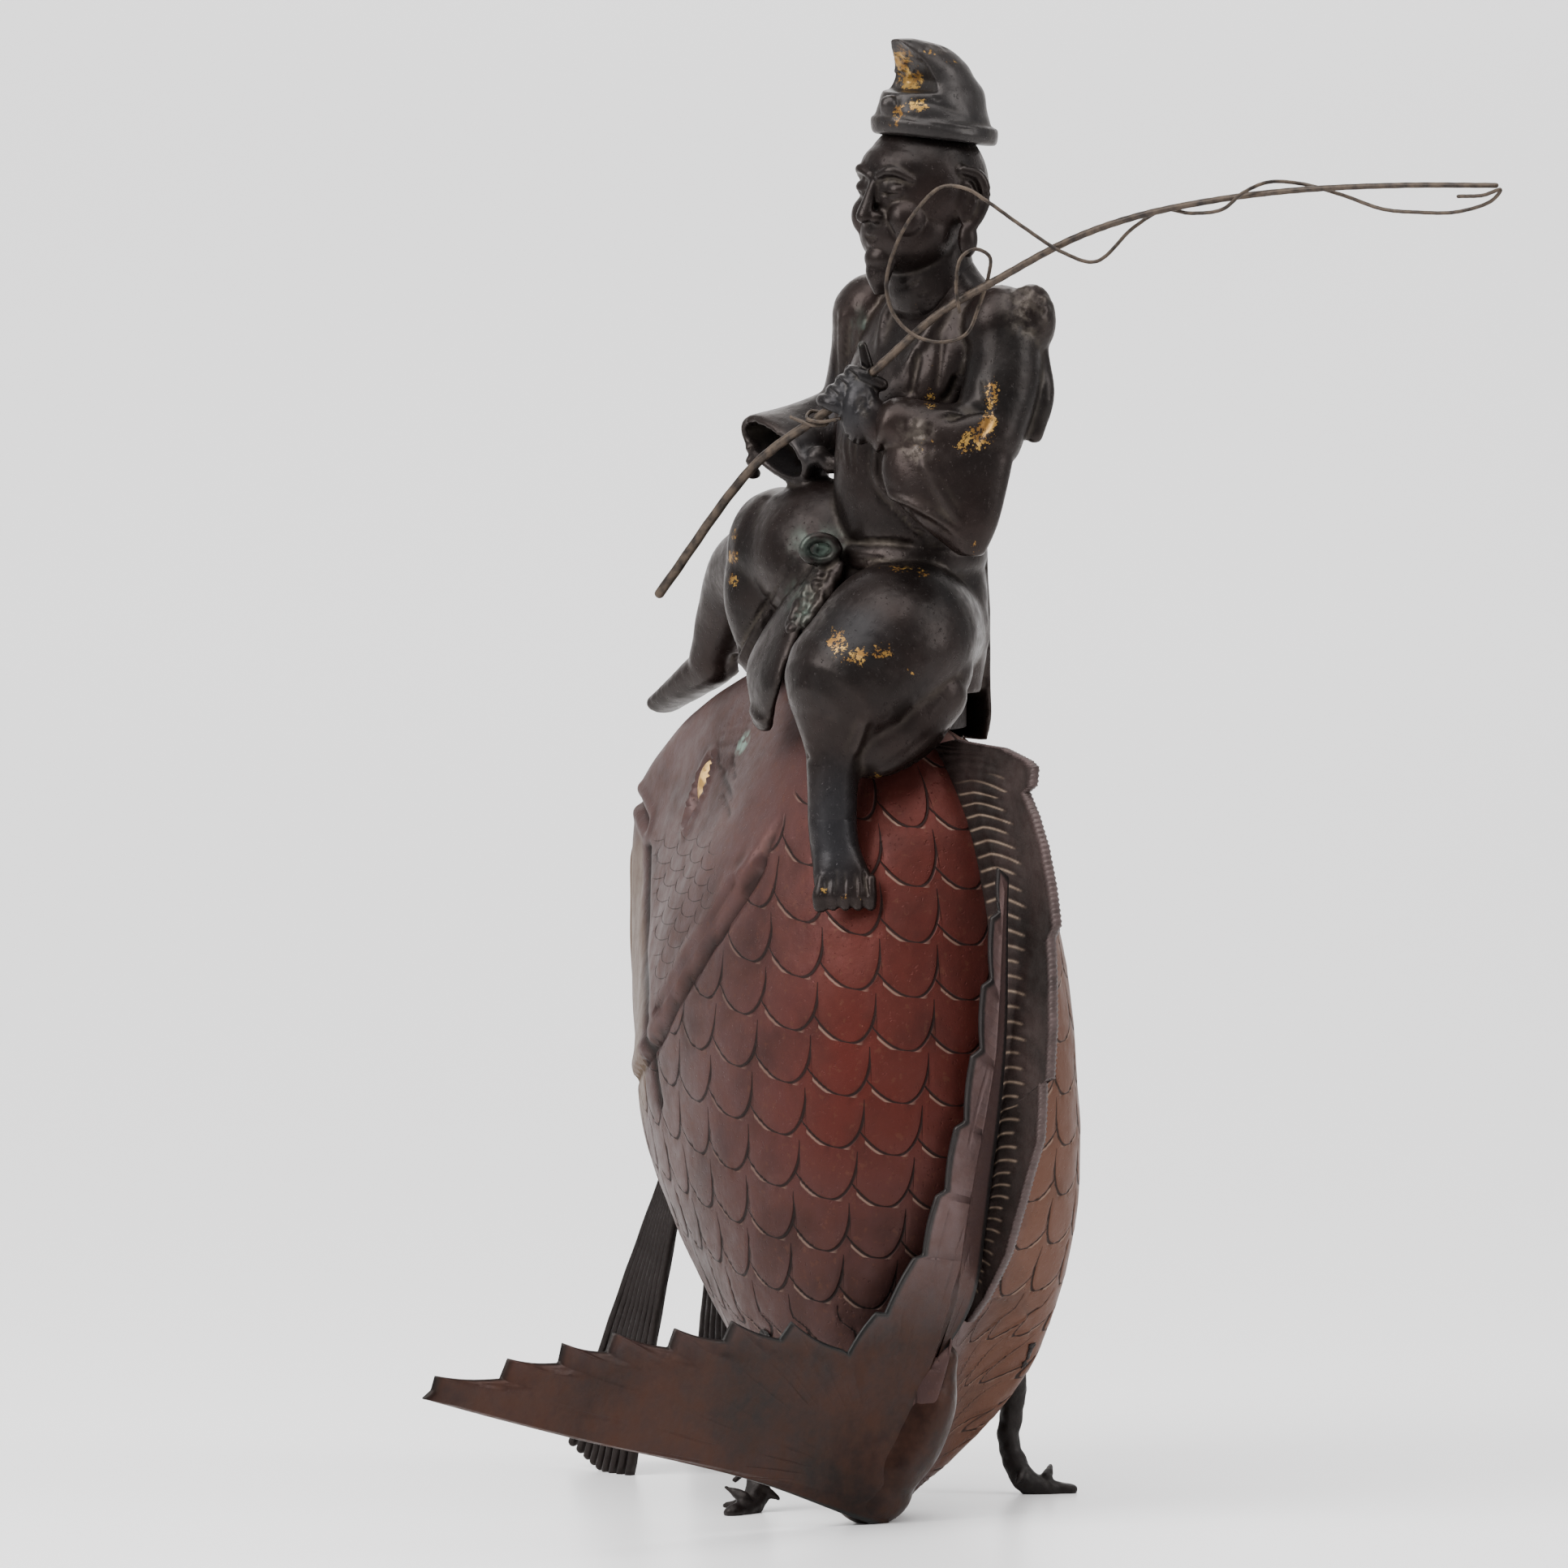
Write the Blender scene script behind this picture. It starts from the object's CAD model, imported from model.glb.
"""Dresses the bronze burner: a scaled fish, its fins and supports, and the fisherman on top."""
import math

import bmesh
import bpy
import numpy as np
from mathutils import Matrix, Vector, kdtree, noise


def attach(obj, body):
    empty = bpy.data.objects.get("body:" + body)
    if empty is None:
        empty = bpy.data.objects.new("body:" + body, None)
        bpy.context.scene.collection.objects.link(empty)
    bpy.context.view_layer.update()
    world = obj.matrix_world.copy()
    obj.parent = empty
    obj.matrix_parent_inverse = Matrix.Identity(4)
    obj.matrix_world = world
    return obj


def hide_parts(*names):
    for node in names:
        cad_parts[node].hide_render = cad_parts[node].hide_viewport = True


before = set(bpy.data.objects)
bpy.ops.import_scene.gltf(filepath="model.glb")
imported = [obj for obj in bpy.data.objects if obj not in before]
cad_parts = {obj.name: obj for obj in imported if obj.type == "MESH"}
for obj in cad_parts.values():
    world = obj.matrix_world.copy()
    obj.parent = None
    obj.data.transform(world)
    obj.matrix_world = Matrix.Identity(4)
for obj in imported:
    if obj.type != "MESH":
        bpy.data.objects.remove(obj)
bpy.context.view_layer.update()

MM = 0.001
MIDPLANE = -34.0
OPENING_CENTRE = (-38.0, -50.0)
OPENING_RADIUS = 23.0
CROWN_LEVEL = 0.215
RING_RADIUS = 22.3
RING_BORE = 18.5
WALL = 4.0
SEAT_GAP = 0.35
FIGURE_PLACE = np.array([-41.0, -39.0, 250.0])
FIGURE_HEADING = math.radians(7)
TAIL_TURN = math.radians(7.2)
TAIL_LEAN = math.radians(10.2)
SCALE_COLUMNS = 13
SCALE_PITCH = 16.4
SCALE_TOP = 262
SCALE_SLANT = 0.16
SCALE_LEAN = 0.12
SCALE_CURVE = 2.1
SCALE_DROP = 1.1
VIEW_TURN = math.radians(147)
VIEW_RISE = math.radians(5)
CAMERA_DISTANCE = 14.0
CAMERA_TARGET = (24.7, -16.1, 228.4)
SENSOR = 36
PICTURE = 1932
PIXEL = 0.25
LIGHT_TARGET = (-20, -50, 220)

# Body stations from snout to tail root: back (sway, y, z), belly (sway, y, z), half, turn, keel
STATIONS = np.array([
    (0, -178.5, 214, 0, -178.5, 208, 4, 0, 0),
    (0, -175, 221, 0, -180, 201, 7.5, 0, 0),
    (0, -165, 230, 0, -183, 189, 9.5, 0, 0),
    (0, -151, 240, 0, -184, 172, 12, 0, 0.2),
    (0, -132, 249, 0, -184, 152, 15.5, 0, 0.4),
    (0, -107, 257, 0, -181, 131, 22, 0, 0.5),
    (0, -75, 259, 0, -171, 109, 33, 0, 0.4),
    (0, -42, 251, 0, -156, 90, 47, 0, 0.2),
    (0, -14, 233, 0, -138, 73, 54, 0, 0.1),
    (0, 6, 203, 0, -119, 57, 56, 0, 0),
    (0, 15, 164, 0, -101, 42, 55, 0, 0),
    (0, 15, 126, 0, -84, 28, 53, 0, 0),
    (0, 9, 94, 0, -66, 15, 49, 4, 0),
    (1, -1, 71, 3, -46, 7, 43, 12, 0),
    (4, -4, 60, 10, -28, 2.5, 33, 30, 0),
    (8, 2, 58, 21, -12, -1.5, 18, 55, 0),
    (13, 8, 57, 34, 0.5, -3, 4.5, 80, 0),
], dtype=float)
SPANS = len(STATIONS) - 1


def smooth(values, t):
    """Rows of values at t from 0 to 1 on a smooth curve."""
    values = np.asarray(values, dtype=float)
    last = len(values) - 1
    place = np.clip(np.asarray(t, dtype=float), 0, 1) * last
    k = np.minimum(np.floor(place).astype(int), last)
    w = place - k
    if values.ndim > 1:
        w = w[..., None]
    p0 = values[np.where(k == 0, k, k - 1)]
    p1 = values[k]
    p2 = values[np.clip(k + 1, 0, last)]
    p3 = values[np.clip(k + 2, 0, last)]
    v0 = (p2 - p0) / 2
    v1 = (p3 - p1) / 2
    return (2 * p1 - 2 * p2 + v0 + v1) * w ** 3 + (3 * p2 - 3 * p1 - 2 * v0 - v1) * w ** 2 + v0 * w + p1


def step(value, low, high):
    """0 below low, 1 above high, smooth between."""
    share = np.clip((value - low) / (high - low), 0, 1)
    return share * share * (3 - 2 * share)


def bump(distance, width):
    return np.exp(-(distance / width) ** 2)


def skin(t, angle, grow=0.0):
    """Points of the fish's skin in millimetres."""
    t, angle = np.broadcast_arrays(t, angle)
    s = smooth(STATIONS, t)
    back, belly = s[..., 0:3], s[..., 3:6]
    half, turn, keel = s[..., 6] + grow, np.radians(s[..., 7]), s[..., 8]
    middle = (back + belly) / 2
    reach = back - middle
    length = np.linalg.norm(reach, axis=-1, keepdims=True)
    reach = reach * (length + grow) / length
    sharp = keel * (1 - np.cos(angle)) / 2
    wide = np.sin(angle) * np.abs(np.sin(angle)) ** sharp
    outward = np.stack([np.cos(turn), np.sin(turn), 0 * turn], axis=-1)
    points = middle + reach * np.cos(angle)[..., None] + outward * (half * wide)[..., None]
    return points + np.array([MIDPLANE, 0, 0])


def line_distance(y, z, line):
    """Signed distance in the fish's plane to a line of (y, z) corners; positive on its left."""
    best = np.full(y.shape, 1e9)
    sign = np.ones(y.shape)
    for (y0, z0), (y1, z1) in zip(line, line[1:]):
        dy, dz = y1 - y0, z1 - z0
        share = np.clip(((y - y0) * dy + (z - z0) * dz) / (dy * dy + dz * dz), 0, 1)
        away = np.hypot(y - y0 - share * dy, z - z0 - share * dz)
        side = np.sign(dy * (z - z0) - dz * (y - y0))
        nearer = away < best
        sign = np.where(nearer, side, sign)
        best = np.where(nearer, away, best)
    return best * sign


def scale_lattice(points):
    """(columns round the body, rows down it) for points on the skin, in whole scales."""
    x, y, z = points[..., 0] - MIDPLANE, points[..., 1], points[..., 2]
    levels = np.linspace(0, SCALE_TOP, 90)
    sample = skin(np.linspace(0, 1, 500)[:, None], np.linspace(0, 2 * np.pi, 240)[None, :])
    lows, highs = [], []
    for level in levels:
        near = np.abs(sample[..., 2] - level) < 3.5
        ys = sample[..., 1][near]
        lows.append(ys.min())
        highs.append(ys.max())
    low = np.interp(z, levels, lows)
    high = np.interp(z, levels, highs)
    middle, reach = (low + high) / 2, (high - low) / 2 + 0.5
    side = np.interp(z, [0, 30, 60, 100, 150, 200, 240, 262], [12, 36, 47, 54, 56, 54, 44, 20])
    angle = np.arctan2(np.abs(x) / side, (y - middle) / reach)
    table = np.linspace(0, np.pi, 200)
    speed = np.sqrt((1.6 * np.sin(table)) ** 2 + np.cos(table) ** 2)
    arc = np.cumsum(speed)
    arc = (arc - arc[0]) / (arc[-1] - arc[0])
    columns = SCALE_COLUMNS * np.interp(angle, table, arc) + 0.5
    rows = (SCALE_TOP - z - SCALE_SLANT * y) / SCALE_PITCH
    return columns, rows


GILL_LINE = [(-45, 262), (-48, 226), (-50, 210), (-52, 198), (-56, 192), (-62, 183), (-76, 168),
             (-89, 155), (-97, 145), (-115, 135), (-135, 128), (-165, 122)]
# Lines of the face as the main view shows them: (right, up)
CHEEK_GROOVES = [
    [(-36, 203), (-41, 194.2), (-54, 174.2), (-65.7, 154.2), (-69.2, 146)],
    [(-43, 197), (-47, 190.7), (-57.5, 174.2), (-67, 157.7)],
]
THROAT_SEAM = [(-70.5, 208), (-71.7, 181), (-71.7, 157.7), (-69.5, 136.5), (-68, 128)]
BROW_LINES = [
    [(-49.5, 233), (-48, 227)], [(-48.3, 231.5), (-46.8, 225)], [(-47.2, 229), (-45.8, 222.5)],
    [(-48.5, 224), (-46.5, 218)], [(-45.8, 236), (-44.5, 230)], [(-50.5, 237), (-49.3, 232)],
]
MOUTH_LINE = [(-184, 211), (-172, 208), (-161, 203)]
EYE_CENTRE = (-117.0, 217.0)


def scale_edge(across):
    """(lower edge, slope) of one scale, across it from its long side: 0 to 1."""
    right = np.clip(1 - 2 * across, 0, 1)
    left = np.maximum(across - 0.5, 0)
    rise = np.clip(1 - right ** SCALE_CURVE, 1e-6, 1) ** (1 / SCALE_CURVE)
    slope = 2 * (right / np.maximum(rise, 0.02)) ** (SCALE_CURVE - 1) - 2 * SCALE_DROP * left
    return rise - SCALE_DROP * left ** 2, slope


def scale_relief(columns, rows):
    """Height of engraved scales; each one's long side lies on its neighbour."""
    row = np.floor(rows)
    down = rows - row
    across = np.mod(columns - SCALE_LEAN * row, 1)
    edge, slope = scale_edge(across)
    away = (edge - down) / np.sqrt(1 + slope ** 2)
    neighbour, _ = scale_edge(across + 1)
    beside = np.where(away < 0, np.abs(neighbour - down), 1)
    gap = np.minimum(np.abs(away), beside)
    lip = np.where(away > 0, 0.24 * np.exp(-away / 0.16), 0)
    return lip - 0.35 * bump(gap, 0.045)


def fish_relief(points, t, angle):
    """Height of the carved skin over its smooth form, in millimetres."""
    y, z = points[..., 1], points[..., 2]
    columns, rows = scale_lattice(points)
    gill = -line_distance(y, z, GILL_LINE)
    view = seen(np.stack([MIDPLANE + np.abs(points[..., 0] - MIDPLANE), y, z], axis=-1).reshape(-1, 3))
    right, up = view[:, 0].reshape(y.shape), view[:, 1].reshape(y.shape)
    facing = step(np.abs(points[..., 0] - MIDPLANE), 1, 5)
    station = t * SPANS
    scaled = step(-gill, 0.5, 4) * (1 - step(station, 14.2, 15.0))
    height = scaled * scale_relief(columns, rows)
    head = 1 - step(station, 8.5, 9.5)
    low_gill = 1 - step(z, 196, 222)
    height += 1.1 * step(gill, -1.2, 1.0) * head * low_gill
    height += (0.8 * bump(gill - 3.5, 2.8) - 1.3 * bump(gill + 1.4, 1.1)) * head * low_gill
    for line in CHEEK_GROOVES:
        away = line_distance(right, up, line)
        height += facing * (0.7 * bump(away + 2.4, 1.6) - 1.5 * bump(away, 0.9))
    seam = bump(line_distance(right, up, THROAT_SEAM), 0.8) * facing
    height -= 1.6 * seam
    for line in BROW_LINES:
        height -= 0.6 * facing * bump(line_distance(right, up, line), 0.4)
    across = ((right + 57) * 0.5 + (up - 185) * 0.87) / 5.2
    along = ((right + 57) * 0.87 - (up - 185) * 0.5) / 4.6
    patch = facing * step(-line_distance(right, up, CHEEK_GROOVES[1]), 1.5, 3) * step(right, -69.5, -68)
    patch = patch * (1 - step(up, 208, 214)) * step(up, 160, 164) * (1 - step(right, -51, -49))
    height += 0.6 * patch * scale_relief(along, -across + 50)
    eye = np.hypot(1.9 * (y - EYE_CENTRE[0]), z - EYE_CENTRE[1])
    height += -3.0 * (1 - step(eye, 8.5, 11)) + 1.2 * bump(eye - 12.5, 1.6)
    mouth = np.abs(line_distance(y, z, MOUTH_LINE))
    height += -2.4 * bump(mouth, 1.6) + 0.8 * bump(mouth - 4, 2)
    keel = np.abs(np.mod(angle, 2 * np.pi) - np.pi)
    reach = np.linalg.norm(points - skin(t, 0 * t + np.pi), axis=-1)
    strip = step(station, 1.2, 2.2) * (1 - step(station, 6.6, 8.2)) * (keel < 1.2)
    height += strip * (2.2 * (1 - step(reach, 6.5, 8)) - 3.0 * bump(reach - 9.5, 2.0))
    crease = step(y, -122, -112) * (1 - step(y, -98, -90)) * step(z, 218, 226) * (1 - step(z, 242, 248))
    height += -0.5 * crease * np.abs(np.sin((y * 0.9 + z * 0.5) * 1.1)) ** 3
    lattices = {"lattice": (columns, rows), "cheek lattice": (along, -across + 50)}
    strip = (1 - step(right, -73, -72)) * step(up, 118, 130) * (1 - step(up, 205, 215)) * facing
    return height, lattices, {"cheek": patch, "seam": seam, "throat": strip}


def fill_coordinates(mesh, points):
    mesh.vertices.foreach_set("co", (np.asarray(points, dtype=np.float32) * MM).ravel())
    mesh.update()


def store(mesh, label, values):
    """Keeps a number for each vertex under a name that the finishes read."""
    layer = mesh.attributes.get(label) or mesh.attributes.new(label, "FLOAT", "POINT")
    layer.data.foreach_set("value", np.asarray(values, dtype=np.float32))


def closed(bm, name):
    """The mesh of a finished form, with its faces turned outward."""
    bmesh.ops.recalc_face_normals(bm, faces=bm.faces)
    mesh = bpy.data.meshes.new(name)
    bm.to_mesh(mesh)
    bm.free()
    return mesh


def above_floor(mesh):
    points, _ = coordinates(mesh)
    points[:, 2] = np.maximum(points[:, 2], 0)
    fill_coordinates(mesh, points)


def sheet_grid(name, rows, columns):
    """A mesh grid from the operator, with each vertex's (row, column) as whole numbers."""
    bm = bmesh.new()
    bmesh.ops.create_grid(bm, x_segments=columns, y_segments=rows, size=1)
    mesh = bpy.data.meshes.new(name)
    bm.to_mesh(mesh)
    bm.free()
    flat = np.empty(len(mesh.vertices) * 3, dtype=np.float32)
    mesh.vertices.foreach_get("co", flat)
    flat = flat.reshape(-1, 3)
    across = np.rint((flat[:, 0] + 1) / 2 * columns).astype(int)
    down = np.rint((flat[:, 1] + 1) / 2 * rows).astype(int)
    return mesh, down, across


def surface_normals(points, wrap=True):
    """Unit normals of a (rows, columns, 3) array of points."""
    if wrap:
        padded = np.concatenate([points[:, -2:-1], points, points[:, 1:2]], axis=1)
        across = np.gradient(padded, axis=1)[:, 1:-1]
    else:
        across = np.gradient(points, axis=1)
    down = np.gradient(points, axis=0)
    normal = np.cross(across, down)
    length = np.linalg.norm(normal, axis=-1, keepdims=True)
    return normal / np.maximum(length, 1e-9)


def finish_piece(name, mesh, material, node, smooth_shade=True):
    """A piece from its mesh, riding on the burner and standing for its CAD node."""
    piece = bpy.data.objects.new(name, mesh)
    bpy.context.scene.collection.objects.link(piece)
    mesh.materials.clear()
    mesh.materials.append(material)
    if smooth_shade:
        mesh.polygons.foreach_set("use_smooth", [True] * len(mesh.polygons))
    mark_hollows(mesh)
    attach(piece, "root")
    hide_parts(node)
    return piece


def mark_hollows(mesh, rounds=3):
    """Stores how hollow and how proud the surface is at each vertex."""
    count = len(mesh.vertices)
    co = np.empty(count * 3, dtype=np.float32)
    normal = np.empty(count * 3, dtype=np.float32)
    edges = np.empty(len(mesh.edges) * 2, dtype=np.int32)
    mesh.vertices.foreach_get("co", co)
    mesh.vertices.foreach_get("normal", normal)
    mesh.edges.foreach_get("vertices", edges)
    co, normal, edges = co.reshape(-1, 3), normal.reshape(-1, 3), edges.reshape(-1, 2)
    a, b = edges[:, 0], edges[:, 1]
    valence = np.maximum(np.bincount(edges.ravel(), minlength=count), 1)

    def spread(values):
        total = np.zeros_like(values)
        for axis in range(values.shape[1]):
            total[:, axis] = np.bincount(a, values[b, axis], minlength=count)
            total[:, axis] += np.bincount(b, values[a, axis], minlength=count)
        return total / valence[:, None]

    flat = co.copy()
    for _ in range(rounds):
        flat = (flat + spread(flat)) / 2
    depth = ((flat - co) * normal).sum(axis=1, keepdims=True) / MM
    for _ in range(2):
        depth = (depth + spread(depth)) / 2
    hollow = np.clip(depth[:, 0] / 0.14, 0, 1)
    proud = np.clip(-depth[:, 0] / 0.14, 0, 1)
    for _ in range(14):
        flat = (flat + spread(flat)) / 2
    depth = ((flat - co) * normal).sum(axis=1, keepdims=True) / MM
    deep = np.clip(depth[:, 0] / 0.8 - 0.25, 0, 1)
    for label, values in (("hollow", hollow), ("proud", proud), ("deep", deep)):
        store(mesh, label, values)


def loft(bm, rings):
    """A closed form through rings of points in millimetres."""
    count = len(rings[0])
    verts = bmesh.ops.create_circle(bm, segments=count, radius=1)["verts"]
    for vert, point in zip(verts, rings[0]):
        vert.co = Vector(point) * MM
    index = {vert: k for k, vert in enumerate(verts)}
    edges = list({edge for vert in verts for edge in vert.link_edges})
    bmesh.ops.contextual_create(bm, geom=edges)
    for ring in rings[1:]:
        geom = bmesh.ops.extrude_edge_only(bm, edges=edges)["geom"]
        fresh = [g for g in geom if isinstance(g, bmesh.types.BMVert)]
        edges = [g for g in geom if isinstance(g, bmesh.types.BMEdge)]
        following = {}
        for vert in fresh:
            for edge in vert.link_edges:
                other = edge.other_vert(vert)
                if other in index:
                    following[vert] = index[other]
        for vert, k in following.items():
            vert.co = Vector(ring[k]) * MM
        index = following
    bmesh.ops.contextual_create(bm, geom=edges)


def path(points, t):
    """Points on an even curve through the given points, t from 0 to 1."""
    points = np.asarray(points, dtype=float)
    last = len(points) - 1
    padded = np.vstack([2 * points[0] - points[1], points, 2 * points[-1] - points[-2]])
    place = np.clip(np.asarray(t, dtype=float), 0, 1) * last
    k = np.minimum(np.floor(place).astype(int), last - 1)
    w = (place - k)[..., None]
    p0, p1, p2, p3 = (padded[k + n] for n in range(4))
    if len(points) == 2:
        return p1 + (p2 - p1) * w
    d0 = np.maximum(np.linalg.norm(p1 - p0, axis=-1, keepdims=True), 1e-6) ** 0.5
    d1 = np.maximum(np.linalg.norm(p2 - p1, axis=-1, keepdims=True), 1e-6) ** 0.5
    d2 = np.maximum(np.linalg.norm(p3 - p2, axis=-1, keepdims=True), 1e-6) ** 0.5
    m1 = ((p1 - p0) / d0 - (p2 - p0) / (d0 + d1) + (p2 - p1) / d1) * d1
    m2 = ((p2 - p1) / d1 - (p3 - p1) / (d1 + d2) + (p3 - p2) / d2) * d1
    return (2 * p1 - 2 * p2 + m1 + m2) * w ** 3 + (3 * p2 - 3 * p1 - 2 * m1 - m2) * w ** 2 + m1 * w + p1


def limb_rings(points, radii, sides, steps, up, wobble=0.0):
    """Rings along a swept limb, with the direction at each ring."""
    pairs = np.array([(r, r) if np.isscalar(r) else r for r in radii], dtype=float)
    t = np.linspace(0, 1, steps + 1)
    centres = path(points, t)
    ahead = path(points, np.clip(t + 0.004, 0, 1)) - path(points, np.clip(t - 0.004, 0, 1))
    ahead /= np.linalg.norm(ahead, axis=1, keepdims=True)
    size = smooth(pairs, t)
    angles = np.linspace(0, 2 * np.pi, sides, endpoint=False)
    side = np.cross(up, ahead)
    side /= np.maximum(np.linalg.norm(side, axis=1, keepdims=True), 1e-6)
    top = np.cross(ahead, side)
    swell = 1 + wobble * np.sin(3 * angles + 1.7 * np.arange(steps + 1)[:, None])
    across = size[:, 0:1] * swell * np.cos(angles)
    along = size[:, 1:2] * swell * np.sin(angles)
    rings = centres[:, None] + across[..., None] * side[:, None] + along[..., None] * top[:, None]
    return rings, ahead, size.min(axis=1)


def limb(bm, points, radii, sides=18, steps=14, up=(0, 0, 1), wobble=0.0):
    """A swept limb with rounded ends: radii are numbers or (across, along up)."""
    rings, ahead, size = limb_rings(points, radii, sides, steps, up, wobble)
    first, last = rings[0].mean(axis=0), rings[-1].mean(axis=0)
    ends = [(0.97, 0.25), (0.85, 0.53), (0.6, 0.8), (0.3, 0.954)]
    start = [first + (rings[0] - first) * share - ahead[0] * size[0] * out for out, share in ends]
    finish = [
        last + (rings[-1] - last) * share + ahead[-1] * size[-1] * out for out, share in reversed(ends)]
    loft(bm, start + list(rings) + finish)


def blob(bm, centre, radii, turn=0.0, columns=24, rows=14):
    """A ball pulled to three radii, turned about Z and placed."""
    verts = bmesh.ops.create_uvsphere(bm, u_segments=columns, v_segments=rows, radius=1)["verts"]
    c, s = math.cos(math.radians(turn)), math.sin(math.radians(turn))
    for vert in verts:
        x, y, z = vert.co.x * radii[0], vert.co.y * radii[1], vert.co.z * radii[2]
        vert.co = Vector((centre[0] + c * x - s * y, centre[1] + s * x + c * y, centre[2] + z)) * MM


def stack(bm, levels, sides=36, between=4, shape=None):
    """A closed form through stacked ellipses: (centre, radii, turn, rise to the front)."""
    full = [tuple(level) + (0, 0)[len(level) - 2:] for level in levels]
    t = np.linspace(0, 1, (len(levels) - 1) * between + 1)
    centres, radii, turns, rises = (
        smooth(np.array([level[k] for level in full], dtype=float), t) for k in range(4))
    angles = np.linspace(0, 2 * np.pi, sides, endpoint=False)
    rings = []
    for centre, size, turn, rise in zip(centres, radii, np.radians(turns), rises):
        x, y = size[0] * np.cos(angles), size[1] * np.sin(angles)
        rings.append(np.stack([
            centre[0] + x * math.cos(turn) - y * math.sin(turn),
            centre[1] + x * math.sin(turn) + y * math.cos(turn),
            centre[2] + rise * x,
        ], axis=1))
    loft(bm, shape(rings) if shape else rings)


def fused(bm, voxel, smoothing=2):
    """One skin over overlapping closed forms, as a new mesh."""
    bmesh.ops.recalc_face_normals(bm, faces=bm.faces)
    rough = bpy.data.meshes.new("rough")
    bm.to_mesh(rough)
    bm.free()
    holder = bpy.data.objects.new("rough", rough)
    bpy.context.scene.collection.objects.link(holder)
    remesh = holder.modifiers.new("skin", "REMESH")
    remesh.mode = "VOXEL"
    remesh.voxel_size = voxel * MM
    remesh.adaptivity = 0
    graph = bpy.context.evaluated_depsgraph_get()
    mesh = bpy.data.meshes.new_from_object(holder.evaluated_get(graph))
    bpy.data.objects.remove(holder)
    bpy.data.meshes.remove(rough)
    bm = bmesh.new()
    bm.from_mesh(mesh)
    for _ in range(smoothing):
        bmesh.ops.smooth_vert(
            bm, verts=bm.verts, factor=0.5, use_axis_x=True, use_axis_y=True, use_axis_z=True)
    bm.to_mesh(mesh)
    bm.free()
    return mesh


def coordinates(mesh):
    co = np.empty(len(mesh.vertices) * 3, dtype=np.float32)
    normal = np.empty(len(mesh.vertices) * 3, dtype=np.float32)
    mesh.vertices.foreach_get("co", co)
    mesh.vertices.foreach_get("normal", normal)
    return co.reshape(-1, 3).astype(float) / MM, normal.reshape(-1, 3).astype(float)


def seen(points):
    """(right, up, near) in millimetres of points as the main view shows them."""
    c, s = math.cos(VIEW_TURN), math.sin(VIEW_TURN)
    right = points[:, 0] * c + points[:, 1] * s
    near = points[:, 0] * s - points[:, 1] * c
    up = points[:, 2] * math.cos(VIEW_RISE) - near * math.sin(VIEW_RISE)
    return np.stack([right, up, near], axis=1)


def in_sight(view, normals, depth=5.0, cell=2.0):
    """How far each point belongs to the side that the main view shows, 0 to 1."""
    columns = np.floor(view[:, :2] / cell).astype(int)
    keys = columns[:, 0] * 4096 + columns[:, 1]
    _, place = np.unique(keys, return_inverse=True)
    nearest = np.full(place.max() + 1, -1e9)
    np.maximum.at(nearest, place, view[:, 2])
    hidden = nearest[place] - view[:, 2]
    facing = normals[:, 0] * math.sin(VIEW_TURN) - normals[:, 1] * math.cos(VIEW_TURN)
    return step(facing, -0.15, 0.1) * (1 - step(hidden, depth, depth + 2))


def line_gaps(points, line, width):
    """For points near a line: (their places in the list, distance from it, share of its length)."""
    low, high = line.min(axis=0) - 3 * width, line.max(axis=0) + 3 * width
    near = np.where(((points > low) & (points < high)).all(axis=1))[0]
    gap = np.full(len(near), 1e9)
    share = np.zeros(len(near))
    for k, spot in enumerate(line):
        away = np.linalg.norm(points[near] - spot, axis=1)
        closer = away < gap
        gap = np.where(closer, away, gap)
        share = np.where(closer, k / (len(line) - 1), share)
    return near, gap, share


def engraved(points, normals, marks):
    """Folds and lines placed as the main view shows them: (corners, width, height)."""
    view = seen(points)
    sight = in_sight(view, normals)
    height = np.zeros(len(points))
    for corners, width, rise in marks:
        flat = np.array([(u, v, 0) for u, v in corners], dtype=float)
        line = path(flat, np.linspace(0, 1, 16 * (len(corners) - 1)))[:, :2]
        near, gap, share = line_gaps(view[:, :2], line, width)
        taper = np.clip(np.minimum(share, 1 - share) * 5, 0.2, 1)
        height[near] += rise * taper * bump(gap, width)
    return points + normals * (height * sight)[:, None]


def mark_patches(mesh, label, patches):
    """Stores how far each point lies in patches of the main view: (right, up, wide, high, strength)."""
    points, normals = coordinates(mesh)
    view = seen(points)
    sight = in_sight(view, normals)
    value = np.zeros(len(points))
    for right, up, wide, high, strength in patches:
        away = np.hypot((view[:, 0] - right) / wide, (view[:, 1] - up) / high)
        value = np.maximum(value, strength * (1 - step(away, 0.25, 1.0)))
    store(mesh, label, value * sight)


def grain(points, size, seed=0.0):
    """Soft unevenness from -1 to 1 at each point, size in millimetres."""
    shift = Vector((seed, 2 * seed, -seed))
    return np.array([noise.noise(Vector(p) / size + shift) for p in points])


def strokes(points, normals, marks):
    """Carves lines: each mark is (corners, width, height)."""
    moved = points.copy()
    for corners, width, height in marks:
        line = path(corners, np.linspace(0, 1, 14 * (len(corners) - 1)))
        near, gap, share = line_gaps(points, line, width)
        taper = np.clip(np.minimum(share, 1 - share) * 6, 0.15, 1)
        moved[near] += normals[near] * (height * taper * bump(gap, width))[:, None]
    return moved


def in_place(points):
    """Points in the figure's own axes, put into the shared frame."""
    c, s = math.cos(FIGURE_HEADING), math.sin(FIGURE_HEADING)
    turned = np.stack([
        c * points[:, 0] - s * points[:, 1],
        s * points[:, 0] + c * points[:, 1],
        points[:, 2],
    ], axis=1)
    return turned + FIGURE_PLACE


SKIN_TREE = None


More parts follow.
